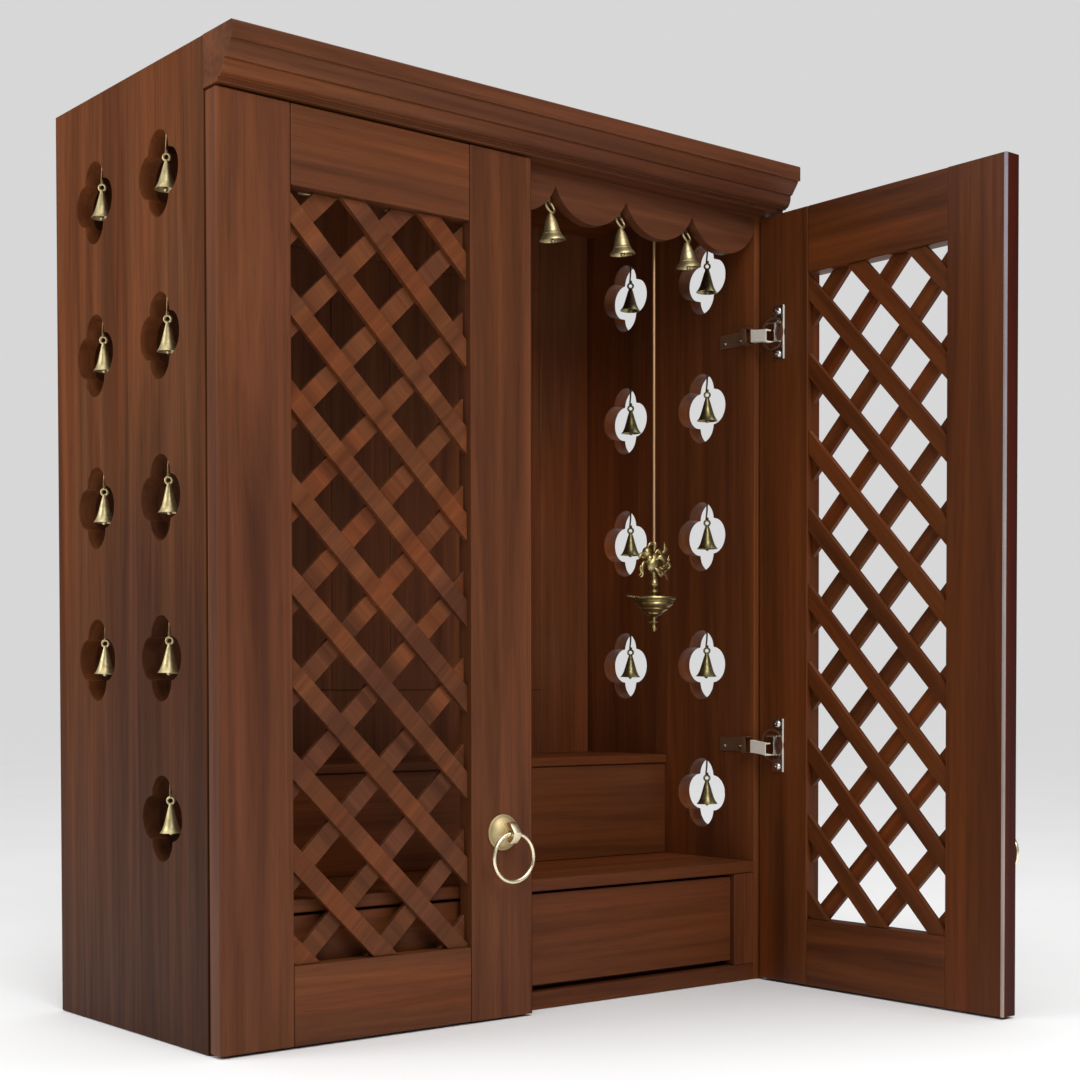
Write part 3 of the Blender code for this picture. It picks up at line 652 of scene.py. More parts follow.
def cornice():
    """Fascia, step, slope, groove, cove and fillet, run across the front."""
    low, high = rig.box("cornice")
    nose, top = low.y, high.z
    profile = [(high.y, top), (nose + 0.0012, top), (nose, top - 0.0012), (nose, top - 0.016),
               (nose + 0.0035, top - 0.016), (nose + 0.0040, top - 0.0178), (nose + 0.0130, top - 0.0295),
               (nose + 0.0150, top - 0.0295), (nose + 0.0150, top - 0.0307)]
    start = (nose + 0.0150, top - 0.0307)
    end = (nose + 0.0225, top - 0.0425)
    for step in range(1, 13):
        turn = math.pi / 2 * step / 12
        profile.append((start[0] + (end[0] - start[0]) * (1 - math.cos(turn)),
                        start[1] + (end[1] - start[1]) * math.sin(turn)))
    profile += [(nose + 0.0225, top - 0.0437), (nose + 0.0272, top - 0.0437), (nose + 0.0277, top - 0.0445),
                (nose + 0.0277, low.z), (high.y, low.z)]
    bm = bmesh.new()
    add_plate(bm, [profile], high.x - low.x, lambda u, v, w: (low.x + w, u, v))
    finish_piece(bm, "cornice_moulding", "cabinet", ["cornice"], [wood("x", 7, OUTSIDE)], "wood",
                 bevel=0.0004, sharp_deg=25)


def valance():
    low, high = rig.box("valance")
    pitch = (high.x - low.x) / SCALLOPS
    radius = (pitch ** 2 / 4 + SCALLOP_DROP ** 2) / (2 * SCALLOP_DROP)
    sweep = math.atan2(pitch / 2, radius - SCALLOP_DROP)
    outline = []
    for index in range(SCALLOPS):
        centre = (low.x + (index + 0.5) * pitch, low.z + radius)
        outline += arc(centre, radius, -math.pi / 2 - sweep, -math.pi / 2 + sweep, 28)
    outline += [(high.x, low.z + SCALLOP_DROP), (high.x, high.z), (low.x, high.z)]
    bm = bmesh.new()
    add_plate(bm, [outline], high.y - low.y, lambda u, v, w: (u, low.y + w, v))
    finish_piece(bm, "valance_board", "cabinet", ["valance"], [wood("x", 9, VALANCE)], "wood",
                 bevel=0.0008, sharp_deg=30)


def drawer():
    """The open drawer box with its front, and the two stiles beside it."""
    low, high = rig.box("drawer")
    front_back = low.y + DRAWER_FRONT
    front_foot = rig.box("bottom_board")[1].z + DRAWER_FOOT_CLEARANCE
    wall = DRAWER_WALL
    box_top = high.z - DRAWER_BOX_HEAD_ROOM
    left, right = low.x + DRAWER_BOX_SIDE_GAP, high.x - DRAWER_BOX_SIDE_GAP
    foot = low.z
    boxes = [((low.x, low.y, front_foot), (high.x, front_back, high.z)),
             ((left, front_back, foot), (left + wall, high.y, box_top)),
             ((right - wall, front_back, foot), (right, high.y, box_top)),
             ((left + wall, high.y - wall, foot), (right - wall, high.y, box_top)),
             ((left + wall, front_back, foot), (right - wall, high.y - wall, foot + wall))]
    # The drawer and its stiles take the painted shade of the inside
    wooden_boxes("drawer_box", "drawer", "cabinet", boxes, "x", 11, INSIDE_SHADE)
    for side in ("left", "right"):
        stile_low, stile_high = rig.box(f"drawer_stile_{side}")
        middle = (stile_low.x + stile_high.x) / 2
        halves = [(stile_low, (middle, stile_high.y, stile_high.z)),
                  ((middle, stile_low.y, stile_low.z), stile_high)]
        wooden_boxes(f"drawer_stile_{side}_boards", f"drawer_stile_{side}", "cabinet", halves, "z", 13,
                     INSIDE_SHADE, STILE_EDGE)


def carcass():
    side_panel("left", 1)
    side_panel("right", 2)
    back_panel()
    cornice()
    valance()
    drawer()
    for node, grain, seed in (("top_board", "x", 3), ("bottom_board", "x", 4), ("deck_board", "x", 6),
                              ("step_tread", "x", 8), ("step_riser", "x", 10)):
        rounding = SHELF_EDGE if node in ("deck_board", "step_tread") else BOARD_EDGE
        # The inner boards take the painted shade of the inside
        wooden_board(node, "cabinet", grain, seed, INSIDE_SHADE, rounding)


# Doors

def clip_to_rectangle(polygon, u0, u1, v0, v1):
    """Trims a flat polygon to a rectangle."""
    for axis, limit, keep in ((0, u0, 1), (0, u1, -1), (1, v0, 1), (1, v1, -1)):
        result = []
        for current, following in zip(polygon, polygon[1:] + polygon[:1]):
            inside = keep * (current[axis] - limit) >= 0
            next_inside = keep * (following[axis] - limit) >= 0
            if inside:
                result.append(current)
            if inside != next_inside:
                share = (limit - current[axis]) / (following[axis] - current[axis])
                result.append(tuple(a + share * (b - a) for a, b in zip(current, following)))
        polygon = result
        if not polygon:
            break
    return polygon


def lattice(prefix, body, seed):
    """Two layers of crossed slats. u runs along the door's width as seen from outside when closed."""
    low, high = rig.box(f"{prefix}_door_lattice")
    closed = prefix == "left"
    # The open door's slats take the painted shade of its tone
    tone = OUTSIDE if closed else OPEN_DOOR_SHADE
    width = high.x - low.x if closed else high.y - low.y
    reach = (high.z - low.z) + width
    half = SLAT_WIDTH / math.sqrt(2)
    if closed:
        middle = (low.y + high.y) / 2
        outer, inner = (low.y, middle), (middle, high.y)
        place = lambda span: (lambda u, v, w: (low.x + u, span[0] + w, v))
    else:
        middle = (low.x + high.x) / 2
        outer, inner = (middle, high.x), (low.x, middle)
        place = lambda span: (lambda u, v, w: (span[0] + w, low.y + u, v))
    turn = math.pi / 4
    if closed:
        grains = ((0.0, turn, 0.0), (0.0, -turn, 0.0))
    else:
        grains = ((turn, 0.0, -math.pi / 2), (-turn, 0.0, -math.pi / 2))
    bm = bmesh.new()
    first = LATTICE_FIRST - LATTICE_PITCH * SLATS_BELOW_FIRST
    for layer, (span, slope) in enumerate(((outer, -1), (inner, 1))):
        for index in range(SLATS_PER_LAYER):
            centre = first + index * LATTICE_PITCH
            start, end = centre - slope * reach, centre + slope * reach
            u0, u1 = width / 2 - reach, width / 2 + reach
            bar = [(u0, start - half), (u1, end - half), (u1, end + half), (u0, start + half)]
            shape = clip_to_rectangle(bar, 0.0, width, low.z, high.z)
            if len(shape) >= 3:
                add_plate(bm, [shape], span[1] - span[0], place(span), layer)
    finish_piece(bm, f"{prefix}_door_slats", body, [f"{prefix}_door_lattice"],
                 [wood(grains[0], seed, tone), wood(grains[1], seed + 1, tone)], "wood", bevel=SLAT_EDGE,
                 weld=False)


def free_stile(prefix, body, seed, tone, pale):
    """A stile whose free edge has a darker band and a slim pale strip of painted highlight along its inner arris."""
    node = f"{prefix}_door_free_stile"
    low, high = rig.box(node)
    strip = 0.0030
    band = 0.0008
    closed = prefix == "left"

    def block(from_edge, to_edge, from_inner, to_inner):
        """Distances from the free edge along the width, and from the inner face through the thickness."""
        if closed:
            return ((high.x - to_edge, high.y - to_inner, low.z),
                    (high.x - from_edge, high.y - from_inner, high.z))
        return ((low.x + from_inner, low.y + from_edge, low.z),
                (low.x + to_inner, low.y + to_edge, high.z))

    width = high.x - low.x if closed else high.y - low.y
    depth = high.y - low.y if closed else high.x - low.x
    # The last block, along the inner arris, carries the painted highlight
    pieces = ((block(strip, width, 0.0, depth), 0), (block(band, strip, strip, depth), 0),
              (block(0.0, band, strip, depth), 1), (block(0.0, strip, 0.0, strip), 2))
    bm = bmesh.new()
    for corners, index in pieces:
        for vertex in add_box(bm, *corners):
            for face in vertex.link_faces:
                face.material_index = index
    materials = [wood("z", seed, tone), wood("z", seed + 3, EDGE_BAND), pale]
    finish_piece(bm, f"{node}_board", body, [node], materials, "wood", bevel=0.0007, weld=False)


def strip_material():
    """Painted highlight along a door's inner arris, laid on as a pale satin strip, greyer at the top than at the foot.
    """
    result, tree, shader = principled("pale_edging")
    place = tree.nodes.new("ShaderNodeTexCoord").outputs["Object"]
    height = tree.nodes.new("ShaderNodeSeparateXYZ")
    tree.links.new(place, height.inputs["Vector"])
    highlight_mottle = noise(tree, mapping(tree, place, scale=(30.0, 30.0, 9.0)), 1.0, 4.0)
    tone = ramp(tree, remap(tree, height.outputs["Z"], 0.0, 1.0, 0.0, 0.86),
                [(0.0, (0.36, 0.27, 0.22)), (0.5, (0.34, 0.30, 0.29)), (1.0, (0.27, 0.24, 0.29))])
    spots = ramp(tree, highlight_mottle, [(0.35, (0.82, 0.80, 0.80)), (0.6, (1.0, 1.0, 1.0))])
    tree.links.new(mix(tree, "MULTIPLY", 1.0, tone, spots), shader.inputs["Base Color"])
    tree.links.new(remap(tree, highlight_mottle, 0.45, 0.3), shader.inputs["Roughness"])
    return result


def doors():
    # The painted highlight along the doors' inner arris
    pale = strip_material()
    for prefix, rail_grain, seed in (("left", "x", 20), ("right", "y", 30)):
        body = f"{prefix}_door"
        # The open door takes the painted shade of its tone
        tone = OUTSIDE if prefix == "left" else OPEN_DOOR_SHADE
        grains = {"hinge_stile": "z", "free_stile": "z", "top_rail": rail_grain, "bottom_rail": rail_grain}
        for index, (kind, grain) in enumerate(grains.items()):
            if kind == "free_stile":
                free_stile(prefix, body, seed + index, tone, pale)
            else:
                wooden_board(f"{prefix}_door_{kind}", body, grain, seed + index, tone, DOOR_EDGE)
        lattice(prefix, body, seed + 5)


# Brass and chrome

# Outlines of the bells, as shares of the mouth's radius and of the height, from the crown down
SLIM_BELL = ((0.14, 0.0), (0.19, 0.03), (0.20, 0.07), (0.30, 0.20), (0.40, 0.36), (0.52, 0.55), (0.66, 0.75),
             (0.82, 0.90), (0.94, 0.965), (1.0, 1.0))
ROUND_BELL = ((0.10, 0.0), (0.17, 0.04), (0.30, 0.16), (0.45, 0.33), (0.56, 0.52), (0.61, 0.64), (0.64, 0.70),
              (0.70, 0.73), (0.69, 0.77), (0.76, 0.82), (0.90, 0.90), (0.98, 0.96), (1.0, 1.0))


def bell_profile(shape, radius, height, wall=0.0008):
    """An open bell from (width, fall) shares. Its crown is at zero."""
    outer = [(radius * width, -height * fall) for width, fall in shape]
    inner = [(r - wall, z) for r, z in reversed(outer[3:-1])]
    return [(0.0, 0.0)] + outer + [(radius - wall, -height)] + inner + [(0.0, -height * 0.12)]


# The two axes of a bell's ring
FLAT_RING = ((0.72, -0.69, 0.0), (0.0, 0.0, 1.0))
TURNED_RING = ((0.95, 0.30, 0.0), (-0.28, 0.20, 0.94))


def add_bell(bm, shape, hook_foot, crown, height, radius, tilt_deg, eye=0.004, wire=0.0009, clapper=0.0024,
             plane=FLAT_RING):
    """A bell hung by its ring from a hook's foot, with its clapper. crown is the height of its top."""
    hung = Vector(hook_foot)
    place = Matrix.Translation(hung) @ Matrix.Rotation(-math.radians(tilt_deg), 4, "Y")
    drop = hung.z - crown
    top = place @ Matrix.Translation((0.0, 0.0, -drop))
    add_turned(bm, bell_profile(shape, radius, height), top, 36)
    across = [place.to_3x3() @ Vector(axis) for axis in plane]
    ring_middle = place @ Vector((0.0, 0.0, -drop + eye - 0.0012))
    add_tube(bm, circle_path(ring_middle, eye - 0.0008, across[0], across[1], 24), wire, 10, closed=True)
    ball = top @ Matrix.Translation((0.0, 0.0, -height + clapper * 0.1))
    add_orb(bm, (2 * clapper, 2 * clapper, 2.2 * clapper), ball, 8)
    add_tube(bm, [top @ Vector((0, 0, -height * 0.15)), top @ Vector((0, 0, -height * 0.9))], 0.0005, 6)


def side_bells(brass, shaded_bells, dark):
    """The bells in the quatrefoils, each on its own hook."""
    for side in ("left", "right"):
        panel_low, panel_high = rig.box(f"side_{side}")
        x = (panel_low.x + panel_high.x) / 2
        for column, (setback, rows) in COLUMNS.items():
            for row in range(rows):
                node = f"{side}_bell_{column}_{row + 1}"
                low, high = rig.box(node)
                y = panel_low.y + setback
                swing = 1.6 * math.sin(2.1 * row + 1.3 * setback * 40)
                crown = low.z + SIDE_BELL_HEIGHT
                eye_middle = crown + SIDE_BELL_EYE_RISE
                bm = bmesh.new()
                add_bell(bm, SLIM_BELL, (x, y, eye_middle + 0.0028), crown, SIDE_BELL_HEIGHT,
                         SIDE_BELL_MOUTH[side], swing, wire=0.0012)
                known = set(bm.faces)
                hook = smooth_path([
                    (x, y, high.z + 0.0003),
                    (x, y, high.z - 0.006),
                    (x - 0.0004, y, high.z - 0.011),
                    (x - 0.0002, y + 0.0012, eye_middle + 0.004),
                    (x, y + 0.0006, eye_middle + 0.0022),
                    (x, y - 0.0012, eye_middle + 0.0030),
                    (x, y - 0.0014, eye_middle + 0.0052)])
                add_tube(bm, hook, 0.0010, 8)
                add_turned(bm, [(0.0, 0.0), (0.0022, 0.0), (0.0020, -0.0012), (0.0, -0.0014)],
                           Matrix.Translation((x, y, high.z + 0.0001)), 16)
                # The hook and its cap take the painted shade of the hooks
                paint_new(bm, known, 1)
                # The right side's bells take the painted shade
                outer = brass if side == "left" else shaded_bells
                finish_piece(bm, f"{node}_brass", "cabinet", [node], [outer, dark], "bell_brass", weld=False)


def valance_bells(brass, dark):
    """The bells under the cusps of the valance."""
    low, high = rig.box("valance")
    pitch = (high.x - low.x) / SCALLOPS
    cusp = low.z + SCALLOP_DROP
    for index in range(SCALLOPS - 1):
        node = f"valance_bell_{index + 1}"
        bell_low, bell_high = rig.box(node)
        x = (index - (SCALLOPS - 2) / 2) * pitch
        y = (bell_low.y + bell_high.y) / 2
        crown = bell_high.z - VALANCE_BELL_DROP
        bm = bmesh.new()
        add_bell(bm, ROUND_BELL, (x, y, crown + 0.0095), crown, VALANCE_BELL_HEIGHT, VALANCE_BELL_MOUTH, 6.0,
                 eye=0.0072, wire=0.0013, clapper=0.0026, plane=TURNED_RING)
        known = set(bm.faces)
        hook = smooth_path([(x, y, cusp + 0.0002), (x, y, cusp - 0.005), (x, y, cusp - 0.009),
                            (x, y + 0.0004, crown + 0.0112), (x, y - 0.0010, crown + 0.0100)])
        add_tube(bm, hook, lambda share: 0.0005 + 0.0028 * min(share / 0.62, 1.0) * (1.0 - 0.35 * share), 10,
                 flatten=0.45)
        # The hook takes the painted shade of the hooks
        paint_new(bm, known, 1)
        finish_piece(bm, f"{node}_brass", "cabinet", [node], [brass, dark], "bell_brass", weld=False)


def plume(size):
    """The half width along a feather: slim at its root and its tip."""
    return lambda share: size * (0.25 + 0.9 * math.sin(math.pi * min(share * 1.1, 1.0)) + 0.02)


def hanging_lamp(antique, copper, bright):
    """Rod, bird figure with scrolled feathers, neck, oil bowl with its spout, and finial."""
    low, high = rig.box("hanging_lamp")
    x = LAMP_X
    y = (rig.box("side_left")[0].y) + LAMP_SETBACK
    tip = low.z
    bowl_foot = tip + LAMP_FINIAL
    rim = bowl_foot + LAMP_BOWL
    neck_top = rim - LAMP_NECK_BITE + LAMP_NECK
    figure_top = neck_top + LAMP_FIGURE
    middle = figure_top - LAMP_FIGURE / 2
    bm = bmesh.new()
    add_tube(bm, [Vector((x, y, high.z)), Vector((x, y, figure_top - 0.006))], LAMP_ROD_RADIUS, 12)
    add_turned(bm, [(0.0, 0.0), (0.006, 0.0), (0.0055, -0.002), (0.002, -0.003), (0.0, -0.003)],
               Matrix.Translation((x, y, high.z)), 24)
    known = paint_new(bm, set(), 1)
    spout = smooth_path([
        (x - 0.021, y, rim - 0.0012),
        (x - 0.030, y, rim - 0.0004),
        (x - 0.0395, y, rim + 0.0004)])
    add_tube(bm, spout, lambda share: 0.0011 - 0.0004 * share, 12, flatten=3.4)
    paint_new(bm, known, 2)
    axis = Matrix.Translation((x, y, 0.0))
    neck = [(0.0, neck_top + 0.004), (0.0030, neck_top + 0.003), (0.0050, neck_top - 0.002),
            (0.0052, neck_top - 0.005), (0.0034, neck_top - 0.0075), (0.0022, neck_top - 0.0090),
            (0.0040, neck_top - 0.0102), (0.0056, neck_top - 0.0125), (0.0040, neck_top - 0.0148),
            (0.0026, neck_top - 0.0160), (0.0030, neck_top - 0.018), (0.0052, rim - 0.0085)]
    bowl = [(0.0160, rim - 0.0088), (0.0205, rim - 0.0030), (0.0226, rim - 0.0004), (0.0240, rim),
            (0.0247, rim - 0.0006), (0.0247, rim - 0.0024), (0.0232, rim - 0.0032), (0.0222, rim - 0.0052),
            (0.0208, rim - 0.0066), (0.0214, rim - 0.0080), (0.0206, rim - 0.0092), (0.0170, rim - 0.0118),
            (0.0150, rim - 0.0124), (0.0154, rim - 0.0136), (0.0140, rim - 0.0148), (0.0104, rim - 0.0172),
            (0.0092, rim - 0.0178), (0.0094, rim - 0.0190), (0.0070, rim - 0.0206), (0.0045, bowl_foot)]
    finial = [(0.0024, bowl_foot - 0.0022), (0.0020, bowl_foot - 0.0050), (0.0022, bowl_foot - 0.0060),
              (0.0062, bowl_foot - 0.0065), (0.0062, bowl_foot - 0.0073), (0.0021, bowl_foot - 0.0080),
              (0.0018, bowl_foot - 0.0104), (0.0028, bowl_foot - 0.0128), (0.0027, bowl_foot - 0.0148),
              (0.0012, tip + 0.0008), (0.0, tip)]
    add_turned(bm, neck + bowl + finial, axis, 48)

    def at(dx, dz, dy=0.0):
        return Vector((x + dx, y + dy, middle + dz))

    def turned_at(dx, dz, angle_deg):
        return Matrix.Translation(at(dx, dz)) @ Matrix.Rotation(math.radians(angle_deg), 4, "Y")

    add_orb(bm, (0.018, 0.013, 0.024), turned_at(-0.001, -0.003, 35))
    add_tube(bm, [at(0.0, -0.0225), at(0.0, -0.017), at(-0.0015, -0.010)], 0.0027, 12)
    add_orb(bm, (0.011, 0.010, 0.012), turned_at(-0.0105, 0.0085, 0))
    # Each scroll's points from the figure's middle, to the right, up and for some back; its size and flatness
    scrolls = [
        (((-0.001, -0.004), (-0.007, 0.002), (-0.0095, 0.008)), 0.0042, 1.0),
        (((-0.012, 0.008), (-0.018, 0.006), (-0.021, 0.003), (-0.022, 0.007)), 0.0019, 0.8),
        (((-0.010, 0.013), (-0.006, 0.018), (0.000, 0.0175), (0.002, 0.013)), 0.0020, 0.8),
        (((0.000, 0.006), (0.006, 0.011), (0.013, 0.004), (0.019, 0.000), (0.022, 0.006)), 0.0026, 0.8),
        (((0.002, 0.000), (0.010, 0.006), (0.017, 0.012), (0.0165, 0.019)), 0.0024, 0.7),
        (((0.004, -0.004), (0.012, -0.008), (0.019, -0.004), (0.0225, 0.002)), 0.0026, 0.8),
        (((0.003, -0.006), (0.010, -0.012), (0.016, -0.015), (0.0195, -0.020)), 0.0018, 0.8),
        (((-0.006, -0.002), (-0.015, -0.003), (-0.0175, -0.010), (-0.0165, -0.017),
          (-0.021, -0.020)), 0.0020, 0.8),
        (((-0.010, 0.004), (-0.016, 0.003), (-0.020, 0.0065)), 0.0016, 0.8),
        (((-0.004, 0.000, -0.006), (0.003, 0.003, -0.0085), (0.010, -0.002, -0.007),
          (0.013, -0.006, -0.004)), 0.0030, 0.7),
        (((-0.004, 0.000, 0.006), (0.003, 0.003, 0.0085), (0.010, -0.002, 0.007),
          (0.013, -0.006, 0.004)), 0.0030, 0.7),
        (((-0.004, -0.008, -0.004), (0.002, -0.012, -0.006), (0.008, -0.010, -0.003)), 0.0022, 0.8),
        (((-0.004, -0.008, 0.004), (0.002, -0.012, 0.006), (0.008, -0.010, 0.003)), 0.0022, 0.8),
        (((0.0, 0.010), (0.001, 0.018), (0.0, 0.0225)), 0.0022, 1.0),
        (((0.012, 0.002), (0.0155, 0.012), (0.0150, 0.0215)), 0.0017, 0.7),
        (((-0.014, -0.004), (-0.0195, -0.008), (-0.0185, -0.0145), (-0.0225, -0.0175)), 0.0016, 0.8),
        (((0.014, 0.0005), (0.0205, -0.0015), (0.0235, -0.006), (0.0195, -0.009)), 0.0018, 0.8),
        (((0.004, -0.010), (0.010, -0.0165), (0.0175, -0.0115), (0.0225, -0.0095)), 0.0016, 0.8),
    ]
    for places, size, flatten in scrolls:
        points = [at(*place) for place in places]
        add_tube(bm, smooth_path(points, 7), plume(size), 10, flatten=flatten)
    finish_piece(bm, "hanging_lamp_brass", "cabinet", ["hanging_lamp"], [antique, copper, bright],
                 "antique_brass", weld=False, sharp_deg=50)


def ring_pull(prefix, out, along, satin, bright):
    """Rosette, faceted knuckle and ring. out points away from the door and along runs with its width."""
    out, along = Vector(out), Vector(along)
    up = Vector((0.0, 0.0, 1.0))
    low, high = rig.box(f"{prefix}_pull_rosette")
    middle = (low + high) / 2
    face = middle - out * abs((high - low).dot(out)) / 2
    place = Matrix((
        (along.x, up.x, out.x, face.x),
        (along.y, up.y, out.y, face.y),
        (along.z, up.z, out.z, middle.z),
        (0.0, 0.0, 0.0, 1.0)))
    bm = bmesh.new()
    radius = ROSETTE_RADIUS
    profile = [(0.0, 0.0), (radius, 0.0), (radius, 0.0014), (radius * 0.965, 0.0022), (radius * 0.92, 0.0023),
               (radius * 0.90, 0.0032), (radius * 0.82, 0.0052), (radius * 0.68, 0.0074),
               (radius * 0.50, 0.0090), (radius * 0.30, 0.0098), (0.0, 0.0100)]
    add_turned(bm, profile, place, 56)
    known = set(bm.faces)
    knuckle = [(0.0070, 0.0092), (0.0150, 0.0112), (0.0198, 0.0092), (0.0262, 0.0010), (0.0250, -0.0040),
               (0.0190, -0.0100), (0.0120, -0.0080), (0.0070, -0.0060)]
    turns = [math.tau * i / 28 for i in range(28)]
    hole = [(KNUCKLE_HOLE_OUT + KNUCKLE_HOLE_RADIUS * math.cos(turn), KNUCKLE_HOLE_RADIUS * math.sin(turn))
            for turn in turns]
    add_plate(bm, [knuckle, hole], KNUCKLE_WIDTH,
              lambda u, v, w: place @ Vector((w - KNUCKLE_WIDTH / 2, v, u)), 1)
    plate = [face for face in bm.faces if face not in known]
    bmesh.ops.recalc_face_normals(bm, faces=plate)
    to_plate = place.inverted()

    def from_hole(edge):
        """How far the edge's nearer end is from the hole's middle, added along the plate's two axes."""
        ends = [to_plate @ vertex.co for vertex in edge.verts]
        return min(abs(end.y) + abs(end.z - KNUCKLE_HOLE_OUT) for end in ends)

    rounded = {edge for face in plate for edge in face.edges
               if edge.is_manifold and edge.calc_face_angle(0.0) > 1.2 and from_hole(edge) > 0.0045}
    bmesh.ops.bevel(bm, geom=list(rounded), offset=0.0012, segments=2, affect="EDGES", profile=0.6)
    paint_new(bm, known, 1)
    finish_piece(bm, f"{prefix}_pull_rosette_brass", f"{prefix}_door", [f"{prefix}_pull_rosette"],
                 [satin, bright], "polished_brass", weld=False)
    ring_low, ring_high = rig.box(f"{prefix}_pull_ring")
    centre = (ring_low + ring_high) / 2
    ring = bmesh.new()
    add_tube(ring, circle_path(centre, RING_RADIUS, along, up, 96), RING_WIRE, 16, closed=True)
    finish_piece(ring, f"{prefix}_pull_ring_brass", f"{prefix}_ring", [f"{prefix}_pull_ring"], [bright],
                 "polished_brass", weld=False)


def screw_head(bm, place, radius=0.0034, height=0.0016):
    """A domed screw head, facing up in its own frame."""
    add_turned(bm, [(0.0, 0.0), (radius, 0.0), (radius * 0.92, height * 0.55), (radius * 0.6, height * 0.92),
                    (radius * 0.3, height), (0.0, height * 0.6)], place, 20)


def hinge_arm(side, level, z, chrome, wood_reflection_steel):
    """The arm on the side panel: a plate with two screws, and a nose of two cheeks and a cap."""
    node = f"{side}_{level}_hinge_arm"
    low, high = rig.box(node)
    wall, inward = (low.x, 1) if side == "left" else (high.x, -1)
    front = low.y
    half = ARM_HALF_WIDTH

    def span(a, b):
        return tuple(sorted((wall + inward * a, wall + inward * b)))

    bm = bmesh.new()
    plate = span(0.0, ARM_PLATE)
    add_box(bm, (plate[0], front + 0.010, z - 0.0080), (plate[1], front + 0.054, z + 0.0080))
    cheek = span(0.0, ARM_HEIGHT)
    for edge in (-1, 1):
        near, far = sorted((z + edge * half, z + edge * ARM_CHEEK_OUT))
        add_box(bm, (cheek[0], front, near), (cheek[1], front + ARM_NOSE, far))
    cap = span(0.0070, ARM_HEIGHT)
    add_box(bm, (cap[0], front + 0.004, z - half), (cap[1], front + ARM_NOSE, z + half))
    facing_in = Matrix.Rotation(inward * math.pi / 2, 4, "Y")
    for setback in ARM_SCREWS:
        place = Matrix.Translation((wall + inward * ARM_PLATE, front + setback, z - 0.002)) @ facing_in
        known = set(bm.faces)
        screw_head(bm, place, 0.0024)
        paint_new(bm, known, 1)
    # Plate, cheeks and cap take the steel with the painted reflection of the dark wood
    finish_piece(bm, f"{node}_steel", "cabinet", [node], [wood_reflection_steel, chrome], "chrome", bevel=0.0004,
                 weld=False)


def hinge_space(side, level, z):
    """A function that turns (a, b, c) into a place.

    a runs from the door's hinge edge along its width, b out of its inner face and c up.
    """
    low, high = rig.box(f"{side}_{level}_hinge_cup")
    if side == "left":
        inner = low.y + CUP_FLANGE_RISE
        return lambda a, b, c: Vector((a - CLOSED_HINGE_EDGE, inner + b, z + c))
    inner = high.x - CUP_FLANGE_RISE
    return lambda a, b, c: Vector((inner - b, OPEN_HINGE_EDGE - a, z + c))


def hinge_cup(side, level, to_world, chrome, wood_reflection_steel, link_steel):
    """The cup sunk in the door's stile, with its screwed flange, a pale strip of painted highlight along the flange's
    edge, and two cheeks.
    """
    node = f"{side}_{level}_hinge_cup"
    bm = bmesh.new()

    def block(a0, a1, b0, b1, c0, c1):
        corners = [to_world(a, b, c) for a in (a0, a1) for b in (b0, b1) for c in (c0, c1)]
        add_box(bm, [min(p[i] for p in corners) for i in range(3)],
                [max(p[i] for p in corners) for i in range(3)])

    normal = (to_world(0, 1, 0) - to_world(0, 0, 0)).normalized()
    width = (to_world(1, 0, 0) - to_world(0, 0, 0)).normalized()
    origin = to_world(CUP_FROM_EDGE, 0.0, 0.0)
    up = Vector((0.0, 0.0, 1.0))
    basis = Matrix((
        (width.x, up.x, normal.x, origin.x),
        (width.y, up.y, normal.y, origin.y),
        (width.z, up.z, normal.z, origin.z),
        (0.0, 0.0, 0.0, 1.0)))
    add_turned(bm, [(0.0, -0.0115), (0.0168, -0.0115), (0.0172, -0.0105), (0.0172, 0.0), (0.0186, 0.0002),
                    (0.0186, 0.0012), (0.0178, 0.0018), (0.0164, 0.0018), (0.0158, 0.0006), (0.0156, -0.0098),
                    (0.0, -0.0100)], basis, 40)
    # Painted reflection: the cup takes the steel coloured as the dark wood it mirrors
    paint_new(bm, set(), 1)
    for edge in (-1, 1):
        near, far = sorted((edge * 0.0150, edge * 0.0300))
        block(0.0225, 0.0385, 0.0002, 0.0013, near, far)
        screw_head(bm, basis @ Matrix.Translation((0.0090, edge * 0.0240, 0.0012)), 0.0042, 0.0026)
    known = set(bm.faces)
    # Painted highlight: a pale strip along the flange's edge
    block(0.0380, 0.0398, 0.0002, 0.0017, -0.0300, 0.0300)
    paint_new(bm, known, 2)
    for edge in (-1, 1):
        near, far = sorted((edge * 0.0098, edge * 0.0115))
        block(0.0192, 0.0365, -0.0060, 0.0085, near, far)
    block(0.0310, 0.0326, -0.0080, 0.0090, -0.0098, 0.0098)
    finish_piece(bm, f"{node}_steel", f"{side}_door", [node], [chrome, wood_reflection_steel, link_steel], "chrome",
                 bevel=0.0004, weld=False)


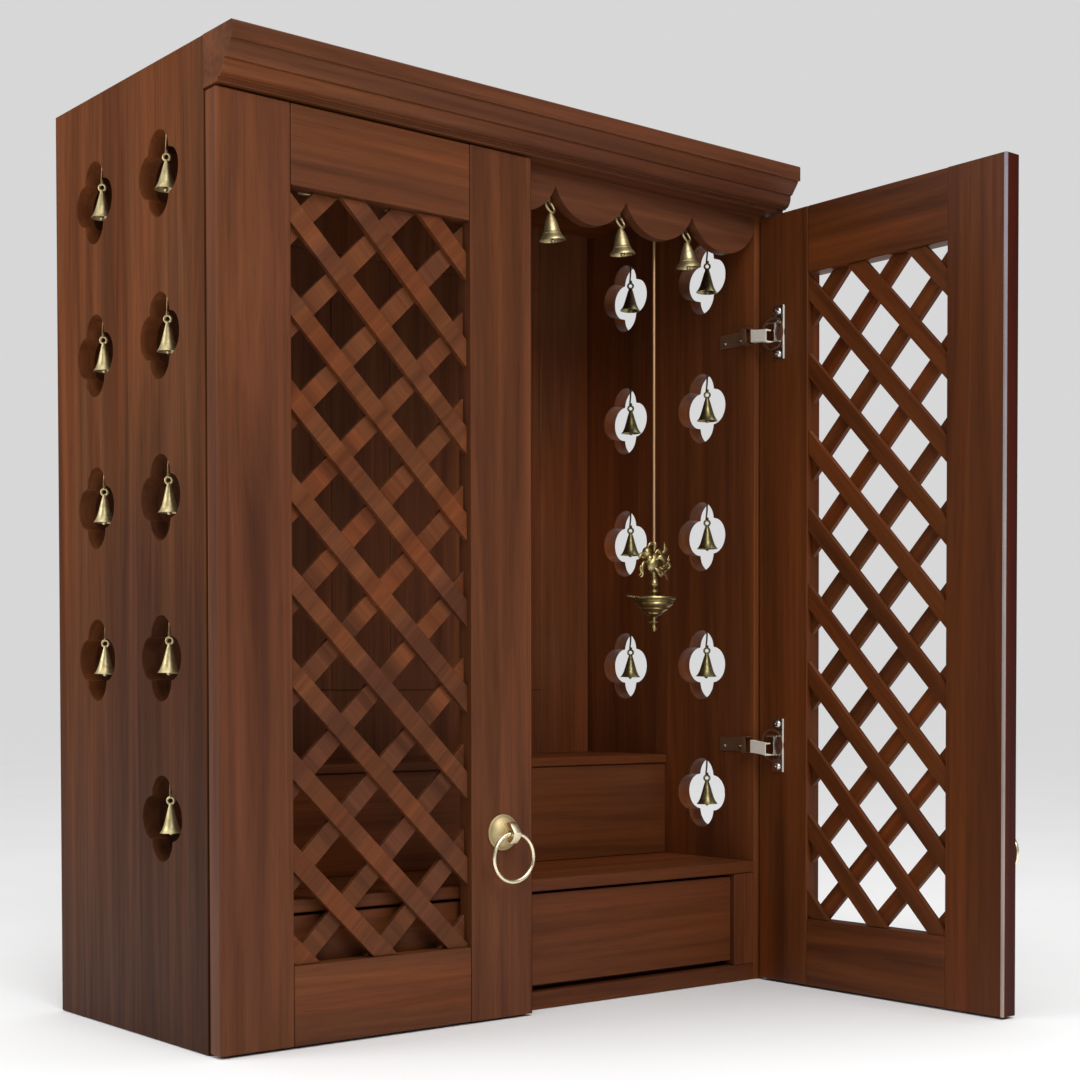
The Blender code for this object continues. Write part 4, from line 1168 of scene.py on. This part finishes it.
def hinge_link(side, level, to_world, link_steel):
    """The bent channel between arm and cup, which stretches from the cabinet to the door."""
    bm = bmesh.new()
    near, far = LINK_REACH[side]
    half, top, skirt, thick = LINK_HALF_WIDTH, LINK_TOP, LINK_SKIRT, LINK_WALL
    stations = []
    for step in range(LINK_SPANS + 1):
        a = near + (far - near) * step / LINK_SPANS
        flare = 0.0006 * (abs(2 * step / LINK_SPANS - 1) ** 6)
        section = [(top, -half - flare), (top, half + flare), (skirt, half + flare), (skirt, half - thick),
                   (top - thick, half - thick), (top - thick, -half + thick), (skirt, -half + thick),
                   (skirt, -half - flare)]
        sag = 0.0016 + 0.0028 * step / LINK_SPANS
        stations.append([bm.verts.new(to_world(a, b, c - sag)) for b, c in section])
    for first, second in zip(stations, stations[1:]):
        for index in range(len(first)):
            after = (index + 1) % len(first)
            bm.faces.new((first[index], first[after], second[after], second[index]))
    bm.faces.new(stations[0])
    bm.faces.new(stations[-1])
    link = finish_piece(bm, f"{side}_{level}_hinge_link", None, [], [link_steel], "chrome", bevel=0.0003,
                        weld=False)
    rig.blend(link, "cabinet", f"{side}_door", to_world(near, 0.012, 0.0), to_world(far - 0.004, 0.012, 0.0))


def hinge(side, level, chrome, wood_reflection_steel, link_steel):
    """One concealed hinge, whose three pieces share the height of its arm."""
    low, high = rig.box(f"{side}_{level}_hinge_arm")
    z = (low.z + high.z) / 2
    to_world = hinge_space(side, level, z)
    hinge_arm(side, level, z, chrome, wood_reflection_steel)
    hinge_cup(side, level, to_world, chrome, wood_reflection_steel, link_steel)
    hinge_link(side, level, to_world, link_steel)


def metalwork():
    brass = metal("bell_brass", (0.70, 0.58, 0.32), (0.34, 0.27, 0.12), 0.42, 0.55, 160.0)
    # Painted shade: a dark copy of the brass for the hooks, which hang in shade
    hook_brass = metal("hook_brass", (0.20, 0.13, 0.06), (0.09, 0.055, 0.025), 0.34, 0.6, 200.0)
    satin = metal("satin_brass", (0.62, 0.50, 0.28), (0.50, 0.39, 0.19), 0.56, 0.25, 90.0)
    # Painted shade: a dark copy of the brass for the bells on the right side, in the cabinet's shade
    shaded_bells = metal("aged_brass", (0.32, 0.27, 0.12), (0.10, 0.08, 0.03), 0.34, 0.6, 160.0)
    bright = metal("bright_brass", (0.98, 0.88, 0.62), (0.86, 0.72, 0.44), 0.22, 0.2, 90.0)
    copper = metal("rod_copper", (0.62, 0.38, 0.20), (0.46, 0.27, 0.13), 0.36, 0.35, 160.0, 0.7)
    antique = metal("antique_brass", (0.52, 0.42, 0.19), (0.20, 0.15, 0.06), 0.30, 0.75, 240.0)
    chrome = metal("chrome_plate", (0.80, 0.79, 0.77), (0.55, 0.53, 0.52), 0.16, 0.25, 120.0)
    link_steel = metal("satin_steel", (0.84, 0.79, 0.69), (0.72, 0.67, 0.58), 0.45, 0.3, 150.0, 0.25)
    # Painted reflection: chrome given the dark brown of the wood that it mirrors
    wood_reflection_steel = metal("dim_steel", (0.125, 0.058, 0.026), (0.08, 0.036, 0.016), 0.50, 0.5, 120.0, 0.25)
    side_bells(brass, shaded_bells, hook_brass)
    valance_bells(brass, hook_brass)
    hanging_lamp(antique, copper, bright)
    ring_pull("left", (0, -1, 0), (1, 0, 0), satin, bright)
    ring_pull("right", (1, 0, 0), (0, 1, 0), satin, bright)
    for side in ("left", "right"):
        for level in ("upper", "lower"):
            hinge(side, level, chrome, wood_reflection_steel, link_steel)


# Studio

def studio():
    bm = bmesh.new()
    bmesh.ops.create_grid(bm, x_segments=8, y_segments=8, size=30.0)
    mesh = bpy.data.meshes.new("studio_floor")
    bm.to_mesh(mesh)
    bm.free()
    floor = bpy.data.objects.new("studio_floor", mesh)
    bpy.context.scene.collection.objects.link(floor)
    mesh.materials.append(floor_material())
    floor.location.z = -0.0005
    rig.stage(floor)

    world = bpy.data.worlds.new("studio_world")
    bpy.context.scene.world = world
    world.use_nodes = True
    tree = world.node_tree
    ambient = tree.nodes["Background"]
    ambient.inputs["Color"].default_value = (1.0, 1.0, 1.0, 1.0)
    ambient.inputs["Strength"].default_value = AMBIENT
    backdrop = tree.nodes.new("ShaderNodeBackground")
    backdrop.inputs["Color"].default_value = (1.0, 1.0, 1.0, 1.0)
    backdrop.inputs["Strength"].default_value = BACKDROP
    choice = tree.nodes.new("ShaderNodeMixShader")
    tree.links.new(tree.nodes.new("ShaderNodeLightPath").outputs["Is Camera Ray"], choice.inputs["Fac"])
    tree.links.new(ambient.outputs["Background"], choice.inputs[1])
    tree.links.new(backdrop.outputs["Background"], choice.inputs[2])
    tree.links.new(choice.outputs["Shader"], tree.nodes["World Output"].inputs["Surface"])

    sun = bpy.data.lights.new("top_sun", "SUN")
    sun.energy = TOP_SUN
    sun.angle = math.radians(70.0)
    overhead = bpy.data.objects.new("top_sun", sun)
    bpy.context.scene.collection.objects.link(overhead)
    for name, place, target, size, power in PANELS:
        light = bpy.data.lights.new(name, "AREA")
        light.size = size
        light.energy = power
        lamp = bpy.data.objects.new(name, light)
        lamp.location = place
        lamp.rotation_euler = (Vector(target) - Vector(place)).to_track_quat("-Z", "Y").to_euler()
        bpy.context.scene.collection.objects.link(lamp)
    bpy.context.scene.view_settings.view_transform = "Standard"


def camera():
    data = bpy.data.cameras.new("photo_camera")
    data.lens = CAMERA_LENS
    data.sensor_width = 36.0
    data.shift_x, data.shift_y = CAMERA_SHIFT
    eye = bpy.data.objects.new("photo_camera", data)
    eye.location = CAMERA_PLACE
    eye.rotation_euler = (math.radians(90.0 + CAMERA_PITCH_DEG), 0.0, -math.radians(CAMERA_YAW_DEG))
    bpy.context.scene.collection.objects.link(eye)
    bpy.context.scene.camera = eye


camera()
studio()
carcass()
doors()
metalwork()

with open("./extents.json", "w") as report:
    json.dump({"cad": cad_bounds, "visual": [list(corner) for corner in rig.bounds()]}, report)
